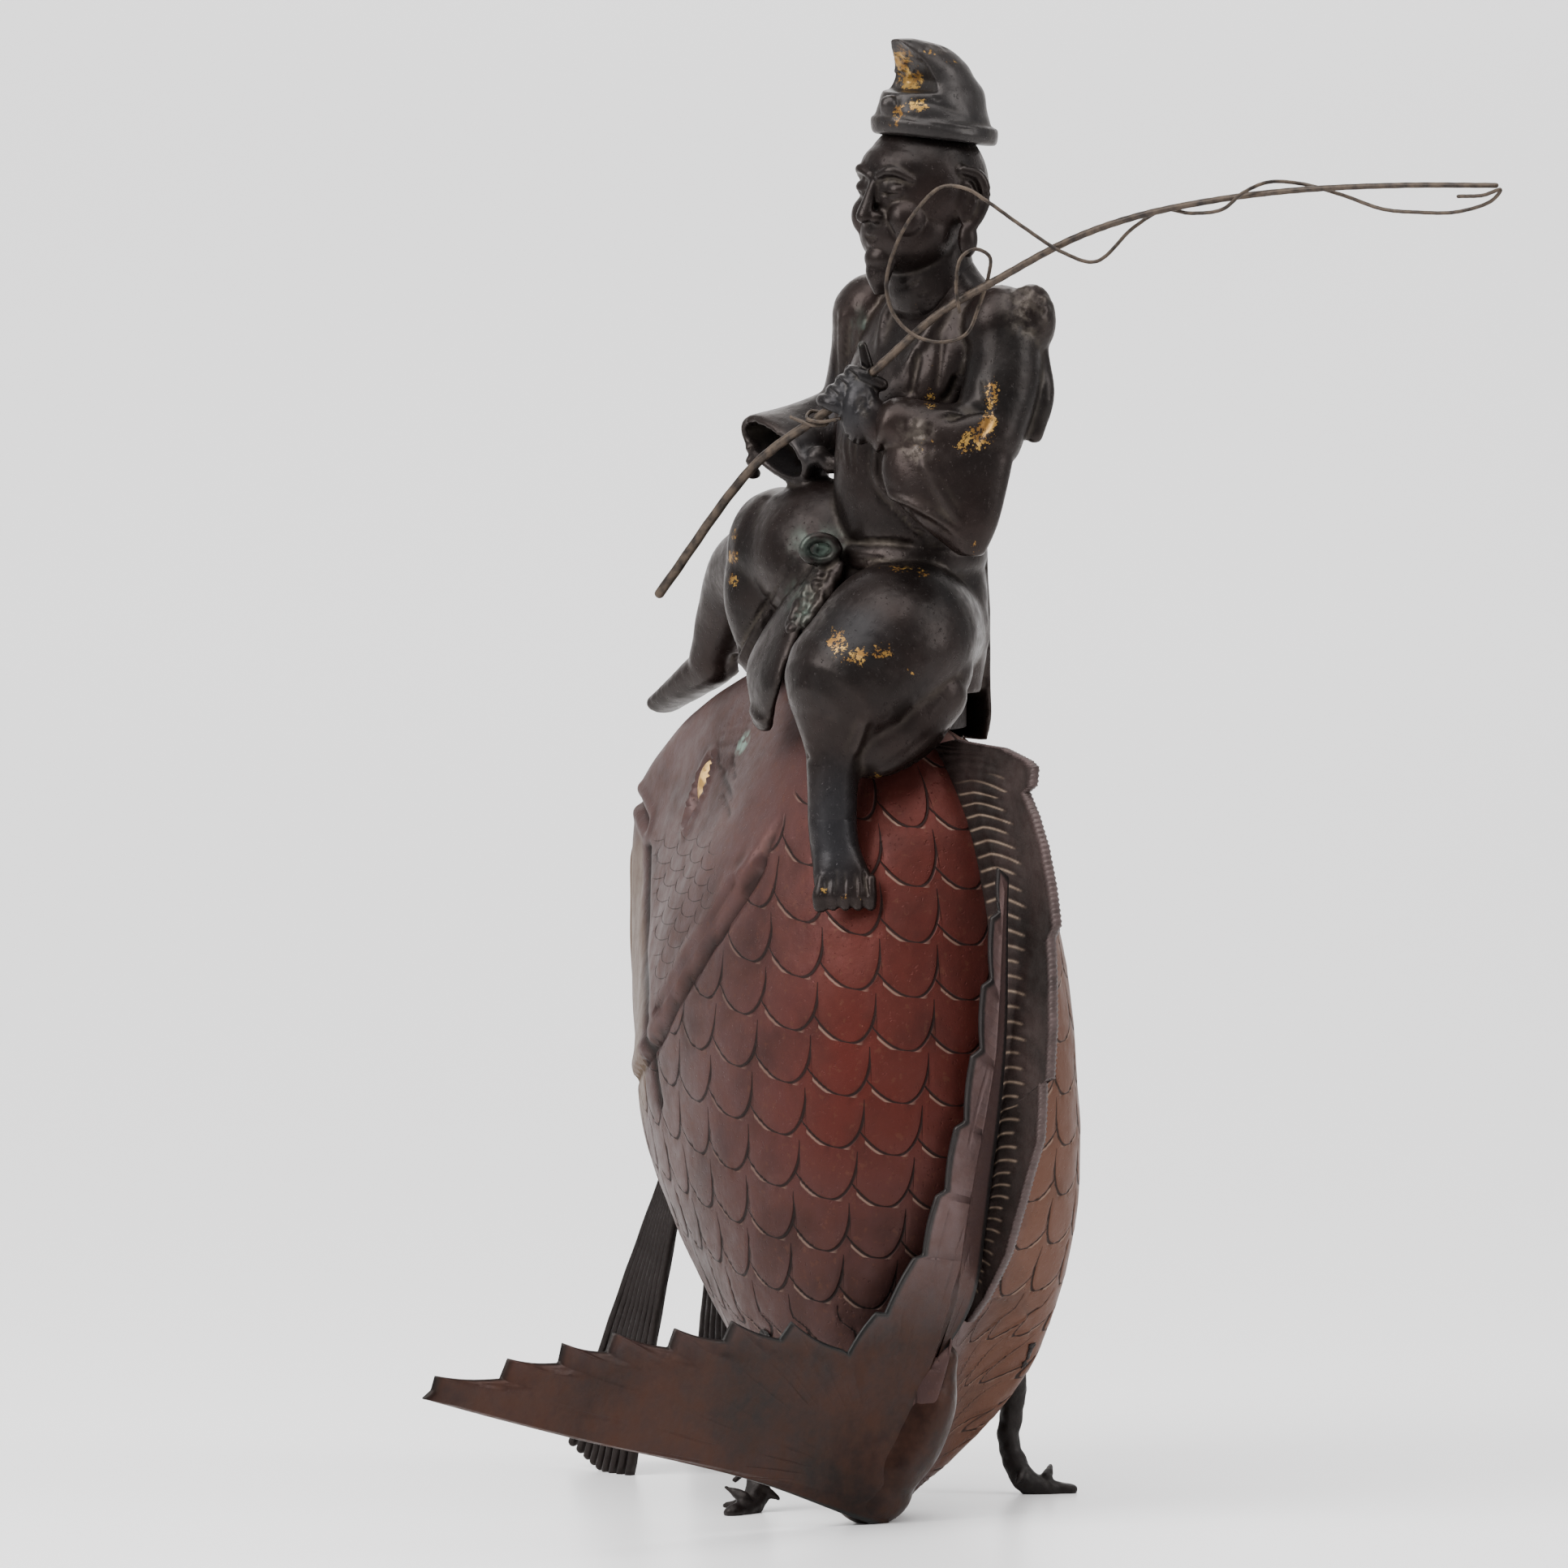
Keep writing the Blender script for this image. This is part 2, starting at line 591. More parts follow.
def skin_tree():
    """The smooth skin's points and outward normals, for seating other pieces on it."""
    global SKIN_TREE
    if SKIN_TREE is None:
        t = np.linspace(0.02, 0.98, 200)[:, None]
        angle = np.linspace(0, 2 * np.pi, 241)[None, :]
        points = skin(t, angle)
        normals = surface_normals(points)
        middle = skin(t, 0 * t) / 2 + skin(t, 0 * t + np.pi) / 2
        outward = np.sign(((points - middle) * normals).sum(axis=-1, keepdims=True))
        normals = normals * outward
        points, normals = points.reshape(-1, 3), normals.reshape(-1, 3)
        tree = kdtree.KDTree(len(points))
        for k, point in enumerate(points):
            tree.insert(point, k)
        tree.balance()
        SKIN_TREE = (tree, points, normals)
    return SKIN_TREE


def seated(points, gap=0.6, below=262.0):
    """Points that lie inside the fish are moved out onto its skin."""
    tree, spots, normals = skin_tree()
    moved = points.copy()
    for k in np.where(points[:, 2] < below)[0]:
        _, n, _ = tree.find(points[k])
        height = (points[k] - spots[n]) @ normals[n]
        if height < gap:
            moved[k] = points[k] + normals[n] * (gap - height)
    return moved


# Finishes


class Finish:
    """Builds one bronze's node network."""

    def __init__(self, name):
        self.material = bpy.data.materials.new(name)
        self.material.use_nodes = True
        self.tree = self.material.node_tree
        self.shader = self.tree.nodes["Principled BSDF"]
        self.place = self.tree.nodes.new("ShaderNodeTexCoord").outputs["Object"]

    def node(self, kind, settings=None, **inputs):
        node = self.tree.nodes.new(kind)
        for key, value in (settings or {}).items():
            setattr(node, key, value)
        for key, value in inputs.items():
            numbered = key[0] == "i" and key[1:].isdigit()
            socket = node.inputs[int(key[1:]) if numbered else key]
            if isinstance(value, bpy.types.NodeSocket):
                self.tree.links.new(value, socket)
            else:
                socket.default_value = value
        return node

    def math(self, operation, first, second=0.0, third=0.0):
        node = self.node("ShaderNodeMath", {"operation": operation}, i0=first, i1=second, i2=third)
        return node.outputs[0]

    def speckle(self, scale, detail=4.0, low=0.4, high=0.6, rough=0.55):
        """Noise pulled between low and high into 0 to 1."""
        cloud = self.node(
            "ShaderNodeTexNoise", Vector=self.place, Scale=scale, Detail=detail, Roughness=rough)
        return self.range(cloud.outputs["Fac"], low, high)

    def range(self, value, low, high, to_low=0.0, to_high=1.0):
        node = self.node("ShaderNodeMapRange", {"clamp": True}, Value=value)
        for k, number in enumerate((low, high, to_low, to_high)):
            node.inputs[k + 1].default_value = number
        return node.outputs[0]

    def mix(self, share, first, second):
        node = self.node("ShaderNodeMix", {"data_type": "RGBA"})
        for socket, value in ((node.inputs[0], share), (node.inputs[6], first), (node.inputs[7], second)):
            if isinstance(value, bpy.types.NodeSocket):
                self.tree.links.new(value, socket)
            else:
                socket.default_value = value if isinstance(value, float) else (*value[:3], 1)
        return node.outputs[2]

    def tint(self, colour, place, amount, shade):
        """The colour with some of a shade mixed in where place is 1."""
        return self.mix(self.math("MULTIPLY", place, amount), colour, shade)

    def attribute(self, name):
        return self.node("ShaderNodeAttribute", {"attribute_name": name}).outputs["Fac"]

    def near(self, centre, radius, soft=0.5):
        """1 at a spot, given in millimetres, falling to 0 at its radius."""
        offset = self.node("ShaderNodeVectorMath", {"operation": "DISTANCE"}, i0=self.place)
        offset.inputs[1].default_value = [value * MM for value in centre]
        return self.range(offset.outputs["Value"], radius * MM * soft, radius * MM, 1.0, 0.0)

    def axis(self, which):
        return self.node("ShaderNodeSeparateXYZ", Vector=self.place).outputs[which]

    def finish(self, colour, roughness, metallic, heights, gloss=0.5):
        links = self.tree.links
        links.new(colour, self.shader.inputs["Base Color"])
        links.new(roughness, self.shader.inputs["Roughness"])
        self.shader.inputs["Metallic"].default_value = metallic
        self.shader.inputs["Specular IOR Level"].default_value = gloss
        self.shader.inputs["Specular Tint"].default_value = EDGE_TINT
        normal = None
        for height, depth in heights:
            node = self.node("ShaderNodeBump", Height=height, Distance=depth, Strength=BUMP_STRENGTH)
            if normal is not None:
                links.new(normal, node.inputs["Normal"])
            normal = node.outputs[0]
        if normal is not None:
            links.new(normal, self.shader.inputs["Normal"])
        return self.material


BUMP_STRENGTH = 0.6
EDGE_TINT = (0.55, 0.52, 0.5, 1)
MAUVE = (0.05, 0.029, 0.028)
MAUVE_LIGHT = (0.1, 0.068, 0.066)
DEEP_RED = (0.058, 0.009, 0.006)
COPPER = (0.09, 0.038, 0.022)
SOOT = (0.008, 0.0065, 0.006)
FIGURE_DARK = (0.0062, 0.005, 0.0048)
FIGURE_BROWN = (0.0165, 0.0098, 0.0085)
COOL_GREY = (0.021, 0.0215, 0.024)
DUST = (0.09, 0.075, 0.058)
VERDIGRIS = (0.14, 0.2, 0.165)
GOLD = (0.34, 0.2, 0.05)
RUST = (0.08, 0.03, 0.014)
WORN_RIM = (0.24, 0.17, 0.13)
WORN_RAY = (0.26, 0.19, 0.14)


def lattice_lines(f, coordinates_name, mask):
    """(engraved scale lines, their light lower rims), from the piece's own lattice coordinates."""
    uv = f.node("ShaderNodeUVMap", {"uv_map": coordinates_name}).outputs[0]
    parts = f.node("ShaderNodeSeparateXYZ", Vector=uv)
    columns, rows = parts.outputs[0], parts.outputs[1]
    row = f.math("FLOOR", rows)
    down = f.math("FRACT", rows)
    across = f.math("FRACT", f.math("MULTIPLY_ADD", row, -SCALE_LEAN, columns))
    right = f.math("MAXIMUM", f.math("MULTIPLY_ADD", across, -2.0, 1.0), 0.0)
    left = f.math("MAXIMUM", f.math("SUBTRACT", across, 0.5), 0.0)
    rise = f.math("POWER", f.math("SUBTRACT", 1.0, f.math("POWER", right, SCALE_CURVE)), 1 / SCALE_CURVE)
    steep = f.math("POWER", f.math("DIVIDE", right, f.math("MAXIMUM", rise, 0.02)), SCALE_CURVE - 1)
    slope = f.math("ADD", f.math("MULTIPLY", steep, 2.0), f.math("MULTIPLY", left, -2 * SCALE_DROP))
    edge = f.math("SUBTRACT", rise, f.math("MULTIPLY", f.math("MULTIPLY", left, left), SCALE_DROP))
    length = f.math("SQRT", f.math("MULTIPLY_ADD", slope, slope, 1.0))
    away = f.math("DIVIDE", f.math("SUBTRACT", down, edge), length)
    further = f.math("ADD", across, 0.5)
    neighbour = f.math("SUBTRACT", 1.0, f.math("MULTIPLY", f.math("MULTIPLY", further, further), SCALE_DROP))
    outside = f.math("GREATER_THAN", away, 0.0)
    beside = f.math("SUBTRACT", down, neighbour)
    own_line = f.range(f.math("ABSOLUTE", away), 0.012, 0.032, 1.0, 0.0)
    next_line = f.math("MULTIPLY", f.range(f.math("ABSOLUTE", beside), 0.012, 0.032, 1.0, 0.0), outside)
    lines = f.math("MAXIMUM", own_line, next_line)
    rim = f.range(f.math("ABSOLUTE", f.math("SUBTRACT", away, 0.05)), 0.01, 0.03, 1.0, 0.0)
    rim = f.math("MULTIPLY", rim, f.range(slope, 1.2, 0.5))
    scaled = f.attribute(mask)
    return f.math("MULTIPLY", lines, scaled), f.math("MULTIPLY", rim, scaled)


def fish_finish():
    f = Finish("fish patina")
    x, y, z = (f.axis(k) for k in range(3))
    broad = f.speckle(16, 4, 0.35, 0.65)
    fine = f.speckle(170, 5, 0.35, 0.7)
    colour = f.tint(MAUVE, broad, 0.55, MAUVE_LIGHT)
    colour = f.tint(colour, fine, 0.25, RUST)
    back_side = f.range(y, -0.075, -0.01)
    upper = f.range(z, 0.05, 0.12)
    red = f.math("MULTIPLY", f.math("MULTIPLY", back_side, upper), f.range(broad, 0.0, 1.0, 0.75, 1.0))
    red = f.math("MULTIPLY", red, f.range(x, -0.045, -0.03))
    colour = f.mix(red, colour, DEEP_RED)
    lower = f.math("MULTIPLY", f.range(z, 0.13, 0.07), f.range(x, -0.04, -0.03))
    colour = f.tint(colour, lower, 0.45, (0.028, 0.012, 0.0095))
    right = f.range(x, -0.036, -0.052)
    warm = f.math("MULTIPLY", right, f.range(y, -0.11, -0.05))
    colour = f.tint(colour, warm, 0.85, COPPER)
    dark = f.speckle(38, 4, 0.5, 0.72)
    colour = f.tint(colour, dark, 0.45, SOOT)
    scratches = f.speckle(420, 2, 0.62, 0.7)
    colour = f.tint(colour, scratches, 0.25, COPPER)
    colour = f.tint(colour, f.attribute("hollow"), 0.7, SOOT)
    lines, rim = lattice_lines(f, "lattice", "scaled")
    cheek_lines, _ = lattice_lines(f, "cheek lattice", "cheek")
    lines = f.math("MAXIMUM", lines, cheek_lines)
    rim = f.math("MULTIPLY", rim, f.range(back_side, 0.0, 1.0, 0.08, 0.45))
    colour = f.mix(rim, colour, WORN_RIM)
    colour = f.tint(colour, lines, 0.85, SOOT)
    colour = f.tint(colour, f.attribute("proud"), 0.08, MAUVE_LIGHT)
    colour = f.tint(colour, f.attribute("throat"), 0.6, (0.14, 0.1, 0.07))
    colour = f.tint(colour, f.attribute("seam"), 0.9, SOOT)
    spot = f.near((-10, -94, 234), 5.0)
    colour = f.mix(f.math("MULTIPLY", spot, f.speckle(300, 3, 0.35, 0.5)), colour, VERDIGRIS)
    roughness = f.range(f.math("ADD", fine, lines), 0.0, 2.0, 0.38, 0.65)
    heights = [
        (f.speckle(300, 5, 0.3, 0.7), 0.0001),
        (f.speckle(700, 2, 0.27, 0.36), 0.0002),
        (f.math("SUBTRACT", 1.0, lines), 0.0006),
    ]
    return f.finish(colour, roughness, 0.35, heights, gloss=0.2)


def fin_finish():
    f = Finish("fin patina")
    z = f.axis(2)
    broad = f.speckle(22, 3, 0.35, 0.65)
    fine = f.speckle(200, 5, 0.35, 0.7)
    colour = f.mix(broad, (0.0075, 0.0045, 0.004), (0.024, 0.0085, 0.0055))
    rising = f.range(z, 0.055, 0.1)
    colour = f.tint(colour, rising, 0.85, (0.095, 0.062, 0.06))
    colour = f.tint(colour, fine, 0.2, RUST)
    colour = f.tint(colour, f.attribute("hollow"), 0.6, SOOT)
    colour = f.tint(colour, f.attribute("edge"), 0.85, (0.01, 0.012, 0.012))
    roughness = f.range(fine, 0.0, 1.0, 0.28, 0.5)
    heights = [(f.speckle(300, 5, 0.3, 0.7), 0.00012), (f.speckle(60, 3, 0.3, 0.7), 0.0004)]
    return f.finish(colour, roughness, 0.35, heights, gloss=0.3)


def back_fin_finish():
    f = Finish("back fin patina")
    fine = f.speckle(240, 5, 0.35, 0.7)
    colour = f.mix(f.speckle(40, 3, 0.35, 0.65), (0.012, 0.0085, 0.0075), (0.032, 0.021, 0.019))
    colour = f.tint(colour, f.attribute("hollow"), 0.7, SOOT)
    edge = f.math("MULTIPLY", f.attribute("edge"), f.range(fine, 0.0, 1.0, 0.2, 0.6))
    ray = f.math("MULTIPLY", f.attribute("ray"), f.range(fine, 0.0, 1.0, 0.6, 1.0))
    colour = f.mix(edge, colour, MAUVE_LIGHT)
    colour = f.mix(ray, colour, WORN_RAY)
    return f.finish(colour, f.range(fine, 0.0, 1.0, 0.4, 0.65), 0.3, [(fine, 0.0002)])


def dark_finish():
    f = Finish("dark bronze")
    broad = f.speckle(30, 3, 0.35, 0.65)
    fine = f.speckle(260, 5, 0.35, 0.7)
    colour = f.tint(FIGURE_DARK, broad, 0.3, FIGURE_BROWN)
    dusty = f.math("MULTIPLY", f.attribute("hollow"), f.speckle(90, 4, 0.3, 0.7))
    colour = f.tint(colour, dusty, 0.5, DUST)
    colour = f.tint(colour, f.attribute("proud"), 0.3, FIGURE_BROWN)
    roughness = f.range(fine, 0.0, 1.0, 0.4, 0.7)
    return f.finish(colour, roughness, 0.35, [(fine, 0.0003)])


def figure_finish(name="figure patina", dark=FIGURE_DARK, brown=FIGURE_BROWN):
    f = Finish(name)
    broad = f.speckle(24, 3, 0.35, 0.65)
    fine = f.speckle(260, 5, 0.35, 0.7)
    colour = f.tint(dark, broad, 0.85, brown)
    colour = f.tint(colour, f.attribute("cool"), 0.7, COOL_GREY)
    colour = f.tint(colour, f.attribute("proud"), 0.22, (0.05, 0.04, 0.035))
    hollow = f.math("MAXIMUM", f.attribute("hollow"), f.attribute("deep"))
    dusty = f.math("MULTIPLY", hollow, f.speckle(70, 4, 0.3, 0.65))
    colour = f.tint(colour, dusty, 0.4, DUST)
    corroded = f.math("MULTIPLY", f.attribute("rough"), f.speckle(330, 4, 0.4, 0.6))
    colour = f.tint(colour, corroded, 0.35, (0.1, 0.085, 0.07))
    cloud = f.math("MULTIPLY", f.speckle(150, 6, 0.3, 0.7, 0.85), 0.85)
    flakes = f.math("MULTIPLY", f.speckle(800, 3, 0.35, 0.65, 0.7), 0.55)
    edge = f.math("ADD", f.math("MULTIPLY_ADD", f.attribute("gilt"), 0.78, cloud), flakes)
    leaf = f.range(edge, 1.34, 1.46)
    colour = f.mix(leaf, colour, f.mix(f.speckle(200, 3), GOLD, (0.16, 0.08, 0.02)))
    green = f.math("MULTIPLY", f.attribute("green"), f.speckle(150, 3, 0.42, 0.56))
    green = f.math("MULTIPLY", green, f.range(hollow, 0.0, 0.5, 0.35, 1.0))
    colour = f.tint(colour, green, 0.5, VERDIGRIS)
    roughness = f.range(f.math("ADD", fine, hollow), 0.0, 2.0, 0.27, 0.6)
    heights = [
        (fine, 0.0001),
        (f.speckle(45, 3, 0.3, 0.7), 0.0006),
        (f.speckle(800, 2, 0.27, 0.36), 0.00015),
    ]
    return f.finish(colour, roughness, 0.5, heights, gloss=0.38)


def eye_finish():
    f = Finish("gilded eye")
    speck = f.speckle(260, 4, 0.42, 0.56)
    iris = f.near((-13, -120, 213), 5.5, 0.55)
    colour = f.mix(speck, (0.35, 0.2, 0.06), (0.6, 0.38, 0.14))
    colour = f.tint(colour, iris, 0.7, (0.05, 0.04, 0.035))
    return f.finish(colour, f.range(speck, 0.0, 1.0, 0.4, 0.6), 0.5, [(speck, 0.0002)])


def wire_finish():
    f = Finish("rod and wire")
    fine = f.speckle(300, 4, 0.35, 0.65)
    colour = f.mix(fine, (0.02, 0.016, 0.014), (0.075, 0.056, 0.042))
    return f.finish(colour, f.range(fine, 0.0, 1.0, 0.4, 0.6), 0.55, [(fine, 0.0001)])


FISH = fish_finish()
FIN = fin_finish()
DARK = dark_finish()
FIGURE = figure_finish()
CAP = figure_finish("cap patina", (0.018, 0.0165, 0.0165), (0.032, 0.027, 0.025))
BACK_FIN = back_fin_finish()
EYE = eye_finish()
WIRE = wire_finish()


# The fish


def in_crown(vert, beyond=0.0):
    """Whether a vertex lies over the crown's opening, or up to some millimetres beyond its edge."""
    away = math.hypot(vert.co.x / MM - OPENING_CENTRE[0], vert.co.y / MM - OPENING_CENTRE[1])
    return vert.co.z > CROWN_LEVEL and away < OPENING_RADIUS + beyond


def fish_body():
    rows, columns = 250, 330
    mesh, down, across = sheet_grid("fish_body", rows, columns)
    t = np.linspace(0, 1, rows + 1)[:, None]
    angle = np.linspace(0, 2 * np.pi, columns + 1)[None, :]
    t, angle = np.broadcast_arrays(t, angle)
    base = skin(t, angle)
    normals = surface_normals(base)
    middle = (skin(t, 0 * angle) + skin(t, 0 * angle + np.pi)) / 2
    outward = ((base - middle) * normals).sum(axis=-1, keepdims=True)
    normals = normals * np.where(outward < 0, -1, 1)
    relief, lattices, marks = fish_relief(base, t, angle)
    relief = relief * step(t * SPANS, 0.2, 1.2)
    uneven = grain(base.reshape(-1, 3), 17).reshape(t.shape) * 0.5
    points = base + normals * (relief + uneven * step(t * SPANS, 0.3, 2))[..., None]
    points[..., 2] = np.maximum(points[..., 2], 0)
    fill_coordinates(mesh, points[down, across])
    gill = line_distance(base[..., 1], base[..., 2], GILL_LINE)
    scaled = step(gill, 1.5, 3.5) * (1 - step(t * SPANS, 14.2, 14.9))
    marks["scaled"] = scaled
    for label, values in marks.items():
        store(mesh, label, values[down, across])
    corner = np.empty(len(mesh.loops), dtype=np.int32)
    mesh.loops.foreach_get("vertex_index", corner)
    for label, pair in lattices.items():
        uv = mesh.uv_layers.new(name=label)
        pairs = np.stack(pair, axis=-1)[down, across]
        uv.data.foreach_set("uv", pairs[corner].astype(np.float32).ravel())
    bm = bmesh.new()
    bm.from_mesh(mesh)
    bmesh.ops.remove_doubles(bm, verts=bm.verts, dist=0.00001)
    crown = [v for v in bm.verts if in_crown(v)]
    bmesh.ops.delete(bm, geom=crown, context="VERTS")
    ends = [e for e in bm.edges if e.is_boundary and e.calc_length() > 0 and e.verts[0].co.z < CROWN_LEVEL]
    bmesh.ops.holes_fill(bm, edges=ends, sides=0)
    mouth = [e for e in bm.edges if e.is_boundary and e.verts[0].co.z > CROWN_LEVEL]
    lower = bmesh.ops.extrude_edge_only(bm, edges=mouth)["geom"]
    fresh = {g for g in lower if isinstance(g, bmesh.types.BMVert)}
    for vert in fresh:
        vert.co.z -= WALL * MM
    for vert in {v for e in mouth for v in e.verts} | fresh:
        dx, dy = vert.co.x / MM - OPENING_CENTRE[0], vert.co.y / MM - OPENING_CENTRE[1]
        share = OPENING_RADIUS / math.hypot(dx, dy)
        vert.co.x = (OPENING_CENTRE[0] + dx * share) * MM
        vert.co.y = (OPENING_CENTRE[1] + dy * share) * MM
    inner_edge = [g for g in lower if isinstance(g, bmesh.types.BMEdge)]
    lining(bm, inner_edge)
    bmesh.ops.recalc_face_normals(bm, faces=bm.faces)
    bm.to_mesh(mesh)
    bm.free()
    return finish_piece("fish_body", mesh, FISH, "fish_burner")


def lining(bm, rim):
    """The wall of the hollow inside, joined to the opening's lower rim."""
    rows, columns = 60, 72
    made = bmesh.ops.create_grid(bm, x_segments=columns, y_segments=rows, size=1)["verts"]
    place = np.array([v.co[:] for v in made])
    t = 0.2 + 0.6 * (place[:, 1] + 1) / 2
    angle = np.pi * (place[:, 0] + 1)
    points = skin(t, angle, -WALL)
    for vert, point in zip(made, points):
        vert.co = Vector(point) * MM
    bmesh.ops.remove_doubles(bm, verts=made, dist=0.00001)
    made = [v for v in made if v.is_valid]
    crown = [v for v in made if in_crown(v)]
    bmesh.ops.delete(bm, geom=crown, context="VERTS")
    made = {v for v in made if v.is_valid}
    edges = [e for e in bm.edges if e.is_boundary and e.verts[0] in made and e.verts[1] in made]
    near = [e for e in edges if in_crown(e.verts[0], 16)]
    chosen = set(near)
    bmesh.ops.holes_fill(bm, edges=[e for e in edges if e not in chosen], sides=0)
    bmesh.ops.bridge_loops(bm, edges=rim + near)


def fish_face():
    bm = bmesh.new()
    for side in (-1, 1):
        for drop, reach, radius in ((-4, 0, 1.9), (4, 0.5, 1.8)):
            limb(bm, [
                (MIDPLANE, -179 - reach, 212 - drop),
                (MIDPLANE + side * 4, -177.5 - reach, 211.5 - drop),
                (MIDPLANE + side * 7.5, -171, 209 - drop),
                (MIDPLANE + side * 10.5, -161, 205 - drop),
            ], [radius, radius, radius * 0.9, radius * 0.5], sides=14, steps=18)
    lips = fused(bm, 0.7)
    finish_piece("fish_lips", lips, FIN, "fish_burner")
    bm = bmesh.new()
    for side in (-1, 1):
        blob(bm, (MIDPLANE + side * 19, EYE_CENTRE[0], EYE_CENTRE[1]), (5.2, 4.4, 9.8), turn=side * -24,
             columns=48, rows=32)
    return finish_piece("fish_eyes", closed(bm, "fish_eyes"), EYE, "fish_burner")


def plate(name, rows, columns, place, material):
    """A thin closed fin: place(down, across) gives mid points, normals, thickness and marks."""
    mesh, down, across = sheet_grid(name, rows, 2 * columns)
    v = np.linspace(0, 2, 2 * columns + 1)[None, :]
    u = np.linspace(0, 1, rows + 1)[:, None]
    u, v = np.broadcast_arrays(u, v)
    middle, normal, thick, marks = place(u, 1 - np.abs(v - 1))
    side = np.where(v < 1, 1.0, -1.0)
    side[:, columns] = 0
    points = middle + normal * (side * thick / 2)[..., None]
    points[..., 2] = np.maximum(points[..., 2], 0)
    fill_coordinates(mesh, points[down, across])
    for label, values in marks.items():
        store(mesh, label, values[down, across])
    bm = bmesh.new()
    bm.from_mesh(mesh)
    bmesh.ops.remove_doubles(bm, verts=bm.verts, dist=0.00002)
    bmesh.ops.holes_fill(bm, edges=[e for e in bm.edges if e.is_boundary], sides=0)
    bmesh.ops.recalc_face_normals(bm, faces=bm.faces)
    bm.to_mesh(mesh)
    bm.free()
    return finish_piece(name, mesh, material, "fish_burner")


BACK_FIN_EDGE = np.array([
    (-14, 236), (-8, 240), (19, 239.4), (33, 236.4), (36.7, 234.7), (36, 229), (32.1, 226.8), (38, 220),
    (43.1, 211), (46.5, 199), (48.7, 187), (45.4, 182.5), (47.4, 170), (48.1, 156), (45.4, 139.5),
    (40.8, 138), (39.9, 120), (31.2, 100.6), (21.6, 83.5), (8.7, 68), (0, 60),
], dtype=float)


def back_fin():
    along = np.concatenate([[0], np.cumsum(np.linalg.norm(np.diff(BACK_FIN_EDGE, axis=0), axis=1))])
    along /= along[-1]

    def place(u, v):
        station = np.interp(u, [0, 0.2, 0.28, 1], [7.6, 8.1, 8.7, 13.8])
        back = smooth(STATIONS[:, 0:3], station / SPANS)
        ahead = smooth(STATIONS[:, 0:3], station / SPANS + 0.01) - back
        ahead /= np.linalg.norm(ahead, axis=-1, keepdims=True)
        root = back - 5 * np.stack([0 * u, -ahead[..., 2], ahead[..., 1]], axis=-1)
        tip = np.stack([0 * u, np.interp(u, along, BACK_FIN_EDGE[:, 0]),
            np.interp(u, along, BACK_FIN_EDGE[:, 1])],
                       axis=-1)
        mid = root + (tip - root) * v[..., None]
        mid[..., 0] = MIDPLANE + 0.5 * np.sin(u * 26) * v
        phase = (station - 7.6) * 7.8 - 2.6 * np.maximum(v - 0.3, 0) ** 1.3 / 0.5
        line = bump(np.mod(phase, 1) - 0.5, 0.075)
        reach = 0.56 + 0.06 * np.sin(9 * u) + 0.05 * np.sin(2.1 * np.floor(phase))
        ray = line * step(v, 0.12, 0.16) * (1 - step(v, reach, reach + 0.06))
        low = step(v, 0.1, 0.2) * (1 - step(v, 0.55, 0.8))
        thick = (
            2.2 + 1.4 * (1 - v) + 0.7 * low * (0.5 + 0.5 * np.cos(2 * np.pi * phase))
            + 0.5 * bump(v - 0.33, 0.02))
        rim = step(v, 0.93, 0.95)
        thick = thick + rim * (0.7 + 0.4 * np.cos(2 * np.pi * u * 150))
        thick = thick * (1 - 0.5 * step(v, 0.985, 1.0))
        normal = np.zeros(mid.shape)
        normal[..., 0] = 1
        return mid, normal, thick, {"edge": rim, "ray": ray * step(u, 0.2, 0.23)}

    return plate("back_fin", 900, 34, place, BACK_FIN)


def tail_outline():
    """The tail's outline in its own plane, with a mark on the stepped edges."""
    def stepped(corners, steps, depth):
        out = []
        for k in range(steps):
            start = smooth(np.array(corners, dtype=float), k / steps)
            end = smooth(np.array(corners, dtype=float), (k + 0.9) / steps)
            along = (end - start) / np.linalg.norm(end - start)
            inner = end + depth * np.array([along[1], -along[0]])
            for share in np.linspace(0, 1, 9)[:-1]:
                bow = 0.8 * math.sin(math.pi * share)
                out.append(start + (inner - start) * share + bow * np.array([-along[1],
                    along[0]]) * np.sign(depth))
            following = smooth(np.array(corners, dtype=float), (k + 1) / steps)
            for share in np.linspace(0, 1, 5)[:-1]:
                out.append(inner + (following - inner) * share)
        return out

    def plain(corners, count):
        return list(smooth(np.array(corners, dtype=float), np.linspace(0, 1, count + 1)))

    upper = stepped([(-17.5, 207), (-15.5, 170), (-11.5, 125), (-1, 84), (24, 57)], 8, 3.2)
    lower = stepped([(28, 58), (60, 63), (90, 62), (124, 62), (150, 58), (188, 53)], 7, -6)
    rising = plain([(-18, 54), (-28, 70), (-30, 95), (-27, 147), (-22, 204)], 60)
    falling = plain([(191, 52), (162, 44), (125, 34.5), (87, 25.5), (50, 15.5), (14, 3), (0, -2)], 80)
    points = np.array(rising + upper + lower + falling)
    return points


